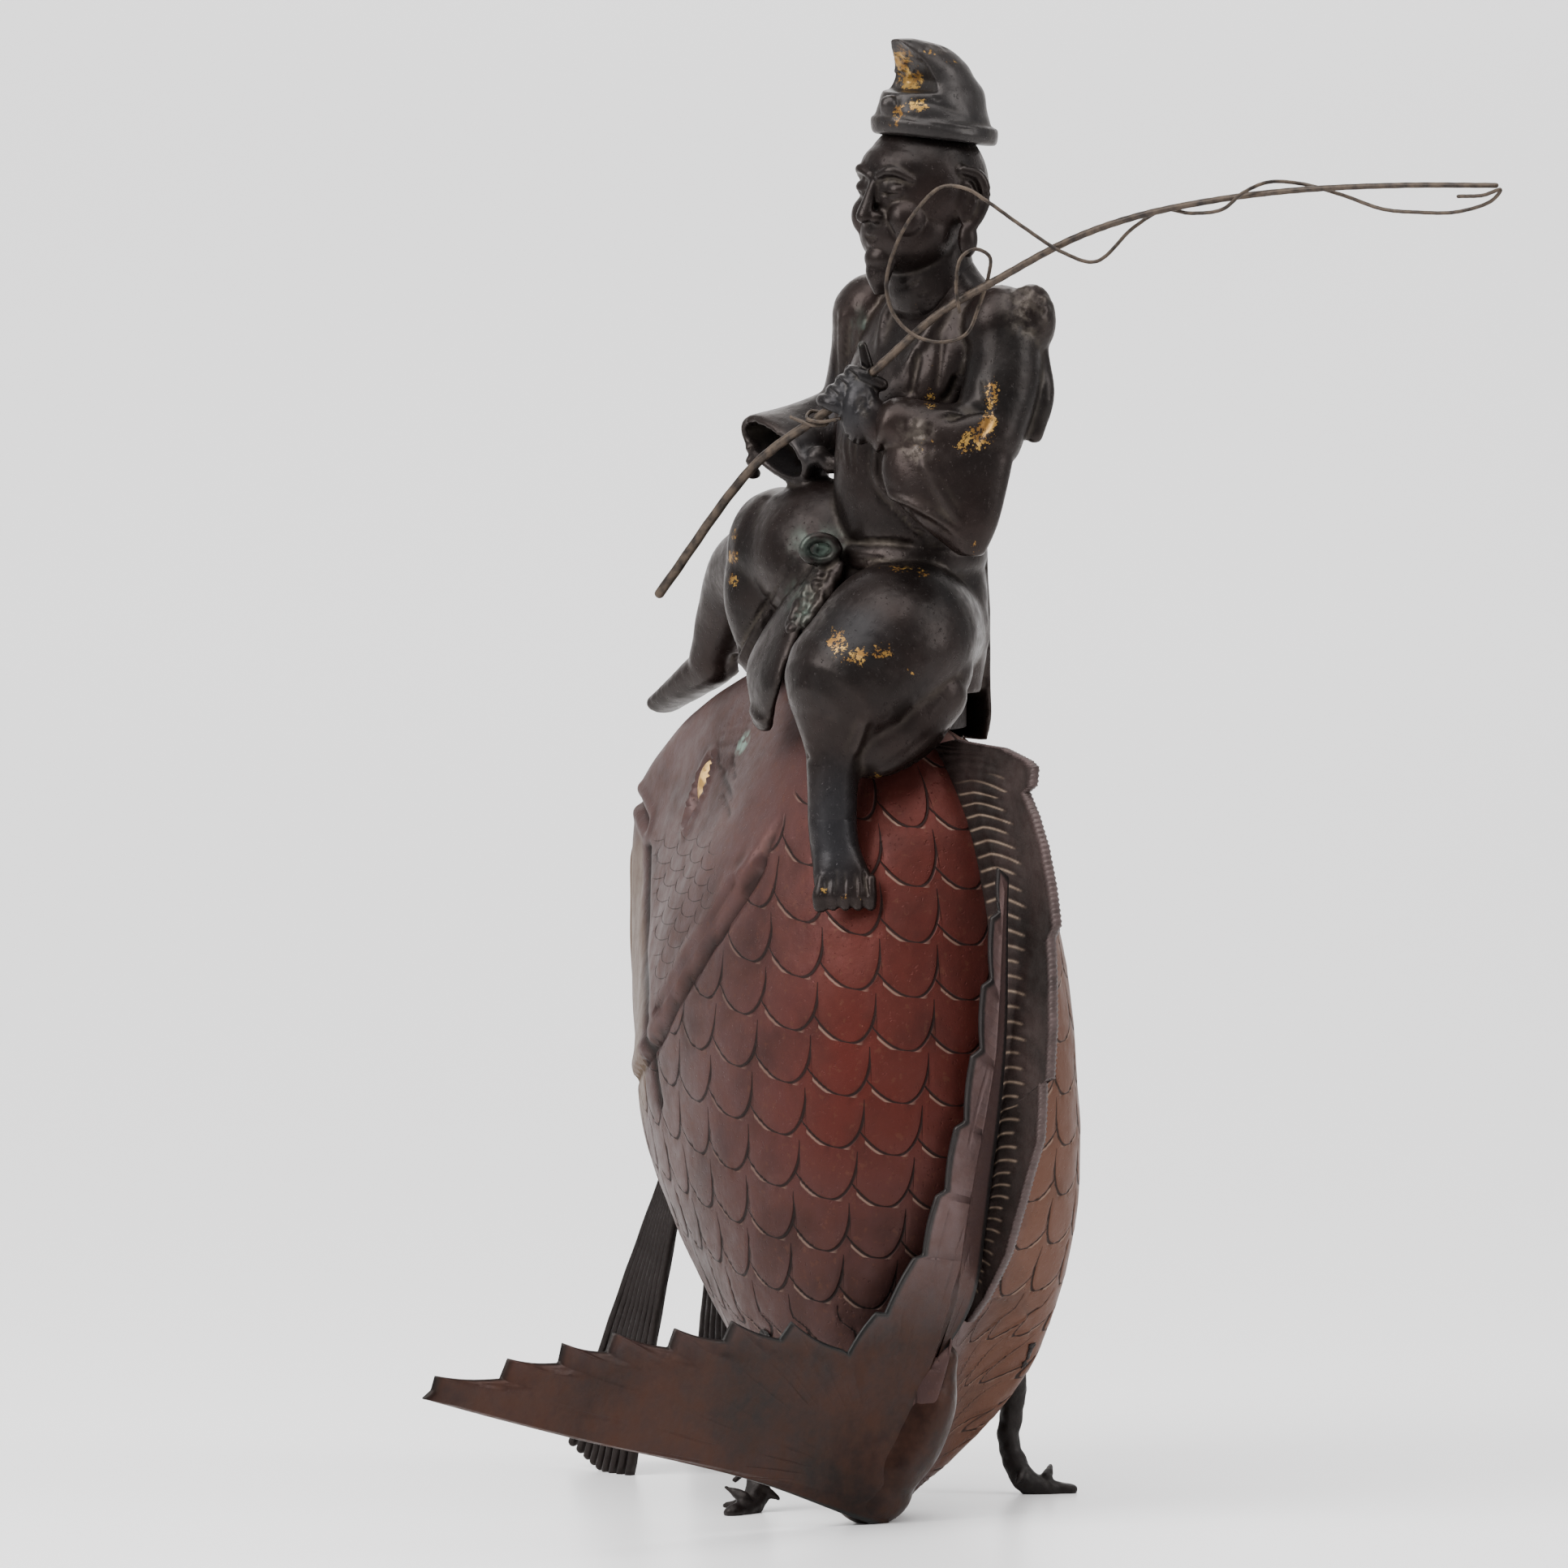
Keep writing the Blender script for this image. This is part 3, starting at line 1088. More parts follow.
def tail_fin():
    outline = tail_outline()
    hub = np.array([2.0, 12.0])
    e1 = np.array([math.cos(TAIL_TURN), math.sin(TAIL_TURN), 0])
    e2 = np.array([-math.sin(TAIL_LEAN) * math.sin(TAIL_TURN), math.sin(TAIL_LEAN) * math.cos(TAIL_TURN),
                   math.cos(TAIL_LEAN)])
    face = np.cross(e1, e2)
    length = np.concatenate([[0], np.cumsum(np.linalg.norm(np.diff(outline, axis=0), axis=1))])
    length /= length[-1]

    def place(u, v):
        spot = np.stack([np.interp(u, length, outline[:, 0]), np.interp(u, length, outline[:, 1])], axis=-1)
        height = 2 * np.round(np.clip(spot[..., 1] * 0.97, 12, 203) / 2)
        spine = np.stack([np.interp(height, [12, 40, 70, 95, 147, 203], [2, -10, -20, -21, -22.5, -20]),
            height], axis=-1)
        upright = np.round((1 - step(spot[..., 0], -4, 22)) * 8) / 8
        inner = hub + (spine - hub) * upright[..., None]
        flat = inner + (spot - inner) * v[..., None]
        reach = np.linalg.norm(spot - inner, axis=-1)
        out = np.linalg.norm(flat - hub, axis=-1)
        bearing = np.arctan2(flat[..., 1] - hub[1], flat[..., 0] - hub[0] + 0.001)
        rays = np.cos(bearing * 90 + 3 * np.sin(bearing * 9) + 0.4 * np.sin(out / 9))
        thin = step(reach * (1 - v), 1.0, 16)
        root = np.hypot(flat[..., 0] - 4, (flat[..., 1] - 10) * 0.8)
        thick = 1.6 + 1.9 * thin + 10 * bump(root, 17)
        broken = step(np.sin(out / 7 + 9 * bearing), -0.3, 0.2)
        thick = thick - 0.25 * step(rays, 0.92, 0.99) * step(out, 24, 40) * step(reach * (1 - v), 2,
            7) * broken
        sway = 1.6 * np.sin(flat[..., 0] / 24) * np.sin(flat[..., 1] / 19)
        mid = flat[..., 0:1] * e1 + flat[..., 1:2] * e2 + face * sway[..., None]
        thick = thick * (1 - 0.5 * step(v, 0.985, 1.0))
        thick = np.where(v < 0.001, 3.0 + 10 * bump(root, 17), thick)
        normal = np.broadcast_to(face, mid.shape)
        return mid, normal, thick, {"edge": 1 - step(reach * (1 - v), 1.0, 2.4)}

    return plate("tail_fin", 900, 56, place, FIN)


def tail_root():
    """The rounded root that the body and both tail lobes run into."""
    bm = bmesh.new()
    blob(bm, (3, 0.5, 10), (14, 9, 11), columns=36, rows=24)
    limb(bm, [(-20, 5, 50), (-16, 2, 38), (-9, 0, 25), (-2, 1, 17)], [5, 10, 12, 11], sides=32, steps=16)
    mesh = fused(bm, 1.0, 6)
    above_floor(mesh)
    return finish_piece("tail_root", mesh, FIN, "fish_burner")


def front_fins():
    bm = bmesh.new()
    for side in (-1, 1):
        root = np.array([MIDPLANE + side * 9, -153, 93.0])
        for k in range(9):
            share = k / 8
            foot = np.array([MIDPLANE + side * (22.6 + 0.7 * math.sin(7 * k)), -160 - 33 * share,
                -0.4 + 8 * share ** 2])
            start = root + np.array([0, -8 * share + 4, 0])
            middle = start * 0.5 + foot * 0.5 + np.array([side * 1.0, -1.5 * share, 0])
            limb(bm, [start + (0, 0, 6), middle, foot], [(1.6, 1.6), (1.4, 1.7), (1.5, 1.7)], sides=12,
                steps=22,
                 up=(1, 0, 0), wobble=0.05)
        blob(bm, root + (0, 1, 2), (5.5, 7.5, 11))
    mesh = closed(bm, "front_fins")
    above_floor(mesh)
    return finish_piece("front_fins", mesh, DARK, "fish_burner")


def rear_support(name, node, side):
    def x(offset):
        return MIDPLANE + side * offset

    bm = bmesh.new()
    limb(bm, [(x(36), -40, 56), (x(46), -46, 34), (x(46), -49, 16), (x(51), -45, 3), (x(63), -40, 1)],
         [(5, 3.5), (4, 3.5), (3.5, 3.5), (4, 3.5), (2, 2.5)], up=(0, 1, 0), steps=24)
    for start, end, size in (
        ((46, -52, 30), (48, -56, 24), 2), ((47, -52, 14), (51, -56, 9), 2),
        ((52, -48, 3), (56, -54, 1.5), 2.2),
        ((56, -43, 5), (60, -47, 8), 2), ((44, -44, 40), (41, -49, 36), 2), ((49, -45, 8), (44, -42, 4), 2),
    ):
        limb(bm, [(x(start[0]), start[1], start[2]), (x(end[0]), end[1], end[2])], [size, 0.7], sides=10,
            steps=3)
    mesh = fused(bm, 0.6, 1)
    points, normals = coordinates(mesh)
    points += normals * (0.55 * grain(points, 3.5))[:, None]
    points[:, 2] = np.maximum(points[:, 2], 0)
    points = seated(points, SEAT_GAP, 80)
    fill_coordinates(mesh, points)
    return finish_piece(name, mesh, DARK, node)


# The fisherman, in the figure's own axes: x to its front, y to its left, z up from the seat


def torso(bm):
    stack(bm, [
        ((-4, -4, 2), (17, 19)), ((-4, -4, 18), (19, 21)), ((-3, -4, 36), (19.5, 21.5)),
        ((1, -5, 54), (21, 23)),
        ((1, -5, 75), (22.5, 24.5)), ((-2, -3, 95), (21.5, 27)), ((-7, 0, 111), (18, 31)),
        ((-9, 2, 122), (13, 28)),
        ((-8, 2, 130), (10, 15)), ((-6, 1, 138), (9, 9.5)), ((-4, 0.5, 146), (9, 9)),
    ], sides=48)


def thighs(bm):
    limb(bm, [(-2, 2, 22), (20, 13, 21), (37, 13, 9)], [18.5, 24, 22.5], sides=36, steps=20)
    limb(bm, [(42, 13, -2), (47, 14, -16), (49, 15, -34), (48, 16, -47)], [17, 9, 7.6, 7.4], up=(0, 1, 0),
        sides=28)
    limb(bm, [(0, -12, 24), (8, -34, 42), (10, -52, 44)], [22, 24.5, 19.5], sides=36, steps=20)
    limb(bm, [(10, -53, 42), (14, -56, 27), (16, -54, 12)], [18, 15, 10], up=(0, 1, 0), sides=28)
    limb(bm, [(9, -54, 40), (0, -84, 34), (-4, -98, 20), (-6, -108, 5)], [16, 12.5, 10, 7.5], sides=28,
        steps=20)
    limb(bm, [(-6, -106, 4), (-10, -124, -4), (-13, -140, -11)], [(7, 7), (7.5, 5), (6.5, 3.5)], sides=24)


def pants_hem(bm):
    """The pants' loose lower edge under the near knee."""
    limb(bm, [(42, 15, -11), (35, 18, -10), (26, 22, -4), (17, 25, 4)], [9, 12, 13, 11], sides=24)
    limb(bm, [(14, 20, 12), (30, 18, 2)], [14, 15], sides=28)


def foot(bm):
    """The near foot, its toes turned down over the fish's brow."""
    limb(bm, [(49, 15, -34), (49, 17, -43), (50, 20.5, -50), (50.5, 23.5, -55)],
         [(7.5, 7.5), (7.4, 7), (8.6, 5.8), (9.2, 3.6)], up=(0.64, 0.77, 0), sides=36, steps=24)
    for k in range(-2, 3):
        spot = np.array([51.3, 24.1, -57.2]) + np.array([-0.77, 0.64, 0]) * 3.85 * k
        big = 0.5 * (k == -2)
        limb(bm, [spot + (-0.4, 0.2, 6), spot + (0.6, 1.0, 1), spot + (0.4, 0.8, -2.2 - big)],
             [(1.5, 1.8), (2.1 + big, 2.3), (1.8 + big, 1.8)], up=(0.64, 0.77, 0), sides=18, steps=10)


def near_arm(bm):
    blob(bm, (-6, 31, 117), (12, 12, 13))
    limb(bm, [(-7, 32, 118), (-2, 36, 100), (6, 38, 84)], [11, 12, 11.5], up=(1, 0, 0), sides=28)
    limb(bm, [(7, 38, 84), (16, 31, 84), (26, 20, 88)], [11, 10.5, 8.5], sides=28)
    stack(bm, [
        ((13, 33, 93), (15, 8), -49), ((16, 32, 80), (20, 10.5), -49), ((18, 33, 69), (19, 10), -49),
        ((17, 38, 57), (12, 7.5), -49), ((15, 41, 48), (4, 4), -49),
    ])
    blob(bm, (-12, 38, 119), (8, 8, 11.5))
    limb(bm, [(-14, 39, 110), (-12, 43, 96), (-9, 43, 84)], [3.5, 4, 3], up=(1, 0, 0))


def far_arm(bm):
    blob(bm, (-8, -33, 117), (12, 12, 13))
    limb(bm, [(-8, -34, 117), (-13, -41, 98), (-10, -44, 84)], [12, 12.5, 12], up=(1, 0, 0), sides=28)
    up = (0, 0.4, 0.92)
    outside, _, _ = limb_rings([(-10, -44, 84), (4, -49, 78), (18, -50, 75)], [(12, 12), (15, 10), (17, 8.5)],
                               32, 16, up)
    inside, _, _ = limb_rings([(6, -49.5, 77.5), (19, -50, 75)], [(11, 4.5), (14.6, 6.3)], 32, 8, up)
    loft(bm, list(outside) + list(inside)[::-1])
    for height in (75, 71, 67):
        blob(bm, (16.5, -61.5, height), (3, 2.2, 2))
    blob(bm, (14, -33, 74), (4, 3.5, 3.5))
    blob(bm, (12, -29.5, 71.5), (3, 3, 3))


def fist(bm):
    blob(bm, (33.5, 10, 91.5), (6, 6, 10.5), turn=40)
    limb(bm, [(32.5, 11, 91), (28, 15, 86)], [6.5, 6.5], sides=24)
    for k in range(4):
        x, y, z = 40.5 - 2.1 * k, 2.8 + 1.95 * k, 94.2 + 3.0 * k
        limb(bm, [(x - 6, y + 5.5, z - 3.5), (x - 0.5, y + 1.5, z - 0.3), (x - 0.5, y - 2.5, z + 0.4),
            (x - 4, y - 6, z)],
             [2.1, 2.35, 2.25, 1.8], sides=20, steps=18)
    limb(bm, [(28.5, 9, 102), (30, 9, 106.5), (31, 8.2, 111.5)], [2, 1.9, 1.5], up=(0, 1, 0), sides=14)


def robe(bm):
    for corners in (
        [(-8, 14, 130), (4, 14, 120), (13, 8, 103), (18, -2, 82), (19, -10, 60)],
        [(-8, -10, 130), (4, -11, 120), (12, -5, 105), (16, 0, 92)],
    ):
        limb(bm, corners, [2.1] * len(corners), steps=40)
    stack(bm, [((0, -5, 40.5), (20, 22)), ((0, -5, 42), (22.4, 24.4)), ((0, -5, 47), (22.6, 24.6)),
               ((0, -5, 48.5), (20, 22))], sides=48)
    limb(bm, [(26, -17, 42), (35, -23, 24), (41, -27, 8), (40, -29, -7)],
        [(5, 2.5), (12, 3), (15, 3), (7, 2.5)],
         up=(1, -0.4, 0), sides=28, steps=20)
    stack(bm, [((-19, -7, 62), (3, 14)), ((-20, -8, 40), (3.5, 16)), ((-21, -9, 15), (3.5, 17)),
               ((-23, -10, -6), (3, 16)), ((-24, -11, -14), (2, 14))])


def sash(bm):
    """The belt's knotted loop and its two lumpy ends."""
    turn = np.linspace(0, 2 * np.pi, 9)
    across = np.outer(np.cos(turn), (-0.766, 0.643, 0)) * 5.0
    loop = np.array([30.5, -12.5, 47.2]) + across + np.outer(np.sin(turn), (0, 0, 1)) * 3.6
    limb(bm, loop, [2.1] * 9, up=(0.643, 0.766, 0.1), sides=20, steps=48)
    blob(bm, (26, -16, 45.5), (5, 5, 5))
    limb(bm, [(27, -15, 42.5), (34, -16, 31.5), (38, -18, 22.5)], [(3, 2.5), (3.5, 2.5), (3, 2)], wobble=0.12)
    limb(bm, [(26, -9, 41.5), (32, -10, 32.5), (37, -12, 24.5)], [(3, 2.5), (3.5, 2.5), (3, 2)], wobble=0.12)
    for k in range(6):
        blob(bm, (30 + 1.8 * k, -12.5 - 0.9 * k + 2 * (k % 2), 39.5 - 3.4 * k), (2.6, 2.4, 2.2),
            columns=16, rows=10)


def figure_forms():
    bm = bmesh.new()
    for form in (torso, thighs, pants_hem, near_arm, far_arm, robe):
        form(bm)
    return bm


def fine_piece(name, form, voxel, relief=0.15):
    """One of the figure's finer parts, with the same finish and patches."""
    bm = bmesh.new()
    form(bm)
    mesh = fused(bm, voxel, 2)
    place_figure(mesh, [], BODY_LINES, relief)
    patch_figure(mesh, BODY_PATCHES)
    rod_clearance(mesh, THREADS)
    return finish_piece(name, mesh, FIGURE, "fisherman_lid")


FOLDS = [
    ([(-20, 20, 112), (-24, 10, 92), (-22, 0, 70)], 2.5, 0.9),
    ([(-22, -22, 112), (-25, -14, 92), (-23, -8, 70)], 2.5, 0.9),
    ([(-12, -50, 112), (-18, -52, 98), (-14, -56, 84)], 1.8, 0.9),
    ([(-4, -34, 58), (2, -50, 64), (6, -66, 58)], 2.2, 0.8),
    ([(-25, 4, 60), (-26, 4, 30), (-27, 2, -8)], 1.6, 0.7),
    ([(-25, -14, 60), (-26, -16, 30), (-27, -16, -8)], 1.6, 0.7),
]

# Lines of the side that the main view shows: (right, up) corners, width, height
BODY_LINES = [
    ([(12.2, 362.8), (10.8, 354), (8.5, 344)], 1.1, -1.1),
    ([(19.5, 367.8), (18.2, 356.5), (17.2, 348.2)], 1.3, -0.9),
    ([(25, 355.2), (22, 348.5), (19, 344.5)], 1.2, -1.2),
    ([(-13.5, 375.2), (-13.8, 364), (-13.2, 351.5)], 0.9, -1.0),
    ([(-11.8, 375.2), (-12, 364), (-12, 352.8)], 1.0, 0.8),
    ([(-9, 374), (-9.8, 364), (-10.5, 354.5)], 1.0, -0.9),
    ([(19, 339.8), (25.2, 342), (30.8, 343.2), (35.5, 342)], 1.5, -2.2),
    ([(29, 332), (32, 336.5), (34.5, 341)], 1.2, -1.4),
    ([(31.5, 353.2), (32.5, 347.8), (34, 342)], 1.0, -0.8),
    ([(2.5, 343.2), (0, 333.2), (-1.2, 324.5), (1.5, 318.2), (10.8, 313.5), (20.2, 307.8), (26.5, 302)],
    1.2, 1.3),
    ([(-1.5, 321.5), (1.5, 315.2), (10.2, 310.5), (19.5, 304.8)], 1.3, -0.9),
    ([(-9.8, 302.2), (2.2, 302.2), (11.5, 300.8)], 0.9, -1.3),
    ([(-9.8, 296.5), (2.2, 296.2), (11.5, 295.8)], 0.9, -0.8),
    ([(-25, 297.5), (-33, 284), (-41, 271), (-44, 262), (-42, 254), (-36, 247), (-32, 250)], 1.0, 0.9),
    ([(-27.5, 296), (-35.2, 282.5), (-43.5, 269.5), (-46.5, 262)], 1.2, -1.2),
    ([(-5.5, 227.5), (1, 228.5), (9, 232.5), (15, 237.5), (22, 243.5), (27.5, 248)], 1.0, -1.3),
    ([(-4.5, 230), (1.5, 231.2), (8.5, 235.2), (14.5, 240.2), (21, 246)], 1.2, 0.7),
    ([(-28.5, 242.5), (-24.8, 237.8), (-21.5, 234.5)], 0.9, -1.2),
    ([(-4, 249), (-6, 242.8), (-9, 235.2)], 1.5, 1.3),
    ([(-13.2, 202.5), (-13.5, 196.5), (-14, 192.5)], 0.6, -0.5),
    ([(-10.5, 201.5), (-10.8, 196), (-10.8, 192)], 0.6, -0.5),
    ([(-7.8, 201), (-7.2, 195.5), (-7.2, 191.8)], 0.6, -0.5),
    ([(-5.2, 201), (-4.2, 196), (-3.5, 192.5)], 0.6, -0.5),
    ([(-16, 350.2), (-12.5, 347)], 0.6, -0.8),
    ([(-13.2, 353), (-9.8, 349.8)], 0.6, -0.8),
    ([(-10.2, 355.8), (-6.5, 352.2)], 0.6, -0.8),
    ([(-13.2, 337.8), (-14.2, 332.8), (-12.5, 327)], 0.5, -0.5),
    ([(-11.5, 337), (-12.5, 332), (-10.8, 326)], 0.5, -0.5),
    ([(-9.5, 336), (-10, 331.5), (-9, 325.2)], 0.5, -0.5),
    ([(-7, 334.5), (-7.8, 330), (-7.2, 324.5)], 0.5, -0.5),
    ([(5.8, 313.5), (8.5, 309), (16.5, 302)], 1.1, -0.8),
    ([(11.5, 329), (17.8, 319), (25.2, 306.5)], 1.4, 0.9),
]

# Patches of the side that the main view shows: (right, up, half width, half height, strength)
BODY_PATCHES = {
    "gilt": [
        (29.5, 334, 8, 7, 1), (33.5, 339, 5, 6, 1), (34.5, 347, 4.5, 9, 0.9), (25.2, 331, 4.5, 4, 0.8),
        (-12.2, 270.2, 5.5, 7.5, 0.85),
        (-7, 267, 5.5, 5.5, 0.95), (-13, 272, 6, 7, 0.8), (1, 269, 6.5, 5.5, 0.8),
        (-44.8, 305, 2, 4, 0.85), (-45.5, 297.8, 2.8, 3.8, 0.95),
        (-45, 290.8, 2.8, 4.5, 0.95), (7, 294.2, 10.5, 3, 0.6), (13.2, 292.5, 3.5, 2.2, 0.85),
        (-0.8, 229.5, 4, 3.5, 0.75),
        (15.8, 346, 3.5, 6.5, 0.8), (-17, 195, 2.2, 2.2, 0.8), (-11, 193, 2, 2, 0.75),
        (-6, 192.5, 2, 2, 0.75),
        (29.8, 301.5, 3.5, 5.5, 0.6), (9.5, 262.2, 2.5, 2.2, 0.8), (15.2, 330.2, 7.5, 7.5, 0.5),
    ],
    "rough": [
        (11, 334, 8, 10, 1), (-4.8, 344, 3.5, 6, 0.8), (46, 374.5, 10.5, 14.5, 0.9),
        (-21, 285.2, 10, 12.5, 0.6),
    ],
    "cool": [
        (-9.8, 345.2, 12, 15, 0.9), (-14, 214, 12.5, 27.5, 1), (-27.2, 329, 15, 10, 0.5),
        (-7.2, 275.2, 15, 10, 0.4),
    ],
    "green": [
        (-19.8, 302, 11.2, 8, 1), (-24.8, 282.8, 6, 10, 0.8), (-6, 367.8, 3.5, 10, 0.5),
    ],
}


def place_figure(mesh, marks=(), lines=(), grain_height=0.35):
    mesh.update()
    points, normals = coordinates(mesh)
    points = strokes(points, normals, marks)
    points += normals * (grain_height * grain(points, 12, 3.0))[:, None]
    fill_coordinates(mesh, seated(in_place(points)))
    points, normals = coordinates(mesh)
    fill_coordinates(mesh, engraved(points, normals, lines))


def patch_figure(mesh, patches):
    """Marks the worn patches and roughens the corroded ones."""
    for label in ("gilt", "rough", "cool", "green"):
        mark_patches(mesh, label, patches.get(label, []))
    points, normals = coordinates(mesh)
    rough = np.empty(len(points), dtype=np.float32)
    mesh.attributes["rough"].data.foreach_get("value", rough)
    where = np.where(rough > 0.02)[0]
    points[where] += normals[where] * (0.9 * rough[where] * grain(points[where], 2.2, 5.0))[:, None]
    fill_coordinates(mesh, points)


def rod_clearance(mesh, lines):
    """Opens a groove in a piece round each rod or wire that passes through it."""
    points, _ = coordinates(mesh)
    for route, radius in lines:
        line = path(route, np.linspace(0, 1, 260))
        low, high = points.min(axis=0) - radius, points.max(axis=0) + radius
        line = line[((line > low) & (line < high)).all(axis=1)]
        if not len(line):
            continue
        tree = kdtree.KDTree(len(line))
        for k, spot in enumerate(line):
            tree.insert(spot, k)
        tree.balance()
        near = ((points > line.min(axis=0) - radius) & (points < line.max(axis=0) + radius)).all(axis=1)
        for k in np.where(near)[0]:
            spot, _, away = tree.find(points[k])
            if 1e-6 < away < radius:
                points[k] = np.array(spot) + (points[k] - np.array(spot)) * radius / away
    fill_coordinates(mesh, points)


ROD_ROUTE = [
    (25.4, -85.7, 282.5), (8.6, -57, 323.7), (-4.2, -35.3, 341.5), (-12.5, -21.1, 354.7),
    (-23.7, -2.1, 372.9), (-33.5, 14.6, 383.7), (-46.5, 36.7, 397), (-57.8, 56, 404.9),
    (-72, 80.1, 411), (-86.1, 104.2, 414.9), (-103.1, 133.1, 417.4), (-119.8, 161.6, 418.5),
]
LINE_ROUTE = [
    (-111.9, 152.7, 414.9), (-116.1, 159.9, 415.5), (-118.8, 165.5, 417.5), (-118.4, 161, 413.7),
    (-113, 150, 409.9), (-106.5, 137.1, 409.3), (-101.4, 126.6, 409.8), (-95.2, 113.3, 413.6),
    (-87.8, 101.7, 416.6), (-80.5, 94.6, 416.9), (-74.3, 90.4, 413.7), (-71, 83.8, 408.3),
    (-67.1, 72.6, 406.5), (-64.8, 59.7, 406.7), (-59, 52, 401), (-50.7, 44, 390.5),
    (-43.9, 36.1, 393), (-35.8, 25.6, 400.7), (-28.4, 16.5, 408.4), (-24.3, 11.3, 412),
    (-19.5, 4.9, 412.3), (-15.2, -2.3, 405.1), (-11.7, -8.4, 394.3), (-10.4, -12.3, 381.6),
    (-12.1, -11.2, 372.8), (-16.2, -6.1, 366.2), (-22.2, 0.7, 364.1), (-28.1, 5.4, 366.5),
    (-32.4, 6.5, 375.6), (-33.7, 9.6, 384.6), (-32.7, 11.6, 390.8), (-29.1, 8.9, 393),
    (-25.6, 6.5, 390.2), (-24.2, 5.9, 382.2), (-25, 6.5, 373.7),
]
TIE_ROUTE = [
    (4, -43.9, 339), (1.7, -39.6, 337.5), (-0.5, -36.6, 336.6), (-4.2, -36.1, 337.3),
    (-5.3, -40.2, 340), (-2.4, -42.3, 340.6), (1.5, -38.4, 338.7), (-1, -34.6, 338), (-4.5, -29.4, 339.2),
]
THREADS = [(ROD_ROUTE, 2.0), (LINE_ROUTE, 1.0), (TIE_ROUTE, 1.0)]


def figure_body():
    mesh = fused(figure_forms(), 1.0, 3)
    place_figure(mesh, FOLDS, BODY_LINES)
    patch_figure(mesh, BODY_PATCHES)
    rod_clearance(mesh, THREADS)
    return finish_piece("fisherman_body", mesh, FIGURE, "fisherman_lid")


def head_forms():
    bm = bmesh.new()
    blob(bm, (-1, 0, 159), (21, 18.5, 21), columns=48, rows=32)
    blob(bm, (5, 0, 146), (16, 15.5, 14.5), columns=36, rows=24)
    blob(bm, (9, 0, 165), (11, 14, 9))
    blob(bm, (16, 0, 137.5), (5.5, 6, 5))
    limb(bm, [(-4, 0, 127), (-1, 0, 146)], [14, 13], sides=30)
    limb(bm, [(18.5, 0, 163), (21, 0, 157), (23.6, 0, 150.8)], [(1.6, 1.5), (1.9, 1.8), (2.7, 2.3)],
        up=(1, 0, 0))
    for side in (-1, 1):
        blob(bm, (13, side * 8.5, 150), (6.8, 6.2, 7))
        limb(bm, [(14.5, side * 12.5, 162.5), (18.6, side * 7.5, 165), (19.6, side * 2, 163.2)],
            [1.0, 1.6, 1.2])
        blob(bm, (15.9, side * 6.9, 159), (3.6, 4.4, 2.9))
        blob(bm, (20.6, side * 2.9, 150.4), (2.7, 2.2, 2.1))
        limb(bm, [(-1, side * 18.3, 165), (-6, side * 20.3, 163), (-8, side * 21, 157),
            (-6, side * 20.5, 151),
                  (-3, side * 19.6, 147)], [1.5, 1.8, 1.9, 1.8, 1.9])
        limb(bm, [(-2.5, side * 19.2, 160), (-4, side * 19.8, 156), (-2.5, side * 19.3, 151)],
            [1.3, 1.4, 1.4])
        blob(bm, (-2.6, side * 18.9, 143.5), (3.4, 2.7, 5.8))
        blob(bm, (-3, side * 18, 155), (4, 1.8, 8))
        limb(bm, [(17, side * 5.2, 144.6), (19.6, side * 2.4, 145.7), (20.3, 0, 145.3)], [0.7, 1.1, 1.2])
        limb(bm, [(17, side * 4.6, 143.9), (19.2, side * 2, 142.6), (19.7, 0, 142.3)], [0.7, 1.2, 1.4])
    for k in range(-3, 4):
        limb(bm, [(17.5 - 0.35 * k * k, 1.6 * k, 139), (20 - 0.3 * k * k, 1.3 * k, 133),
            (18.5 - 0.2 * k * k, 0.5 * k, 126.5)],
             [1.4, 1.5, 0.6], sides=12)
    return bm


FACE_LINES = [
    ([(19.0, 3.0, 158), (19.4, 6.6, 157.3), (17, 10.6, 158.4)], 0.55, -0.7),
    ([(19.0, -3.0, 158), (19.4, -6.6, 157.3), (17, -10.6, 158.4)], 0.55, -0.7),
    ([(18.0, 3.2, 161.4), (19.2, 6.8, 162.4), (16.2, 11, 161.3)], 0.6, -0.5),
    ([(18.0, -3.2, 161.4), (19.2, -6.8, 162.4), (16.2, -11, 161.3)], 0.6, -0.5),
    ([(17.2, 5.8, 144.2), (20.2, 2, 144.2), (20.8, 0, 144), (20.2, -2, 144.2), (17.2, -5.8, 144.2)], 0.5,
    -0.8),
    ([(21.5, 5, 151), (19.5, 7.5, 147), (16.5, 8, 143)], 0.9, -0.6),
    ([(21.5, -5, 151), (19.5, -7.5, 147), (16.5, -8, 143)], 0.9, -0.6),
    ([(8, 12, 132), (9, 0, 128), (8, -12, 132)], 0.8, -0.5),
    ([(6, 12, 128), (8, 0, 124), (6, -12, 128)], 0.8, -0.5),
]


def fisherman_head():
    mesh = fused(head_forms(), 0.62, 2)
    place_figure(mesh, FACE_LINES, (), 0.12)
    patch_figure(mesh, {"rough": [(0, 0, 1, 1, 0)]})
    rod_clearance(mesh, THREADS)
    return finish_piece("fisherman_head", mesh, FIGURE, "fisherman_lid")


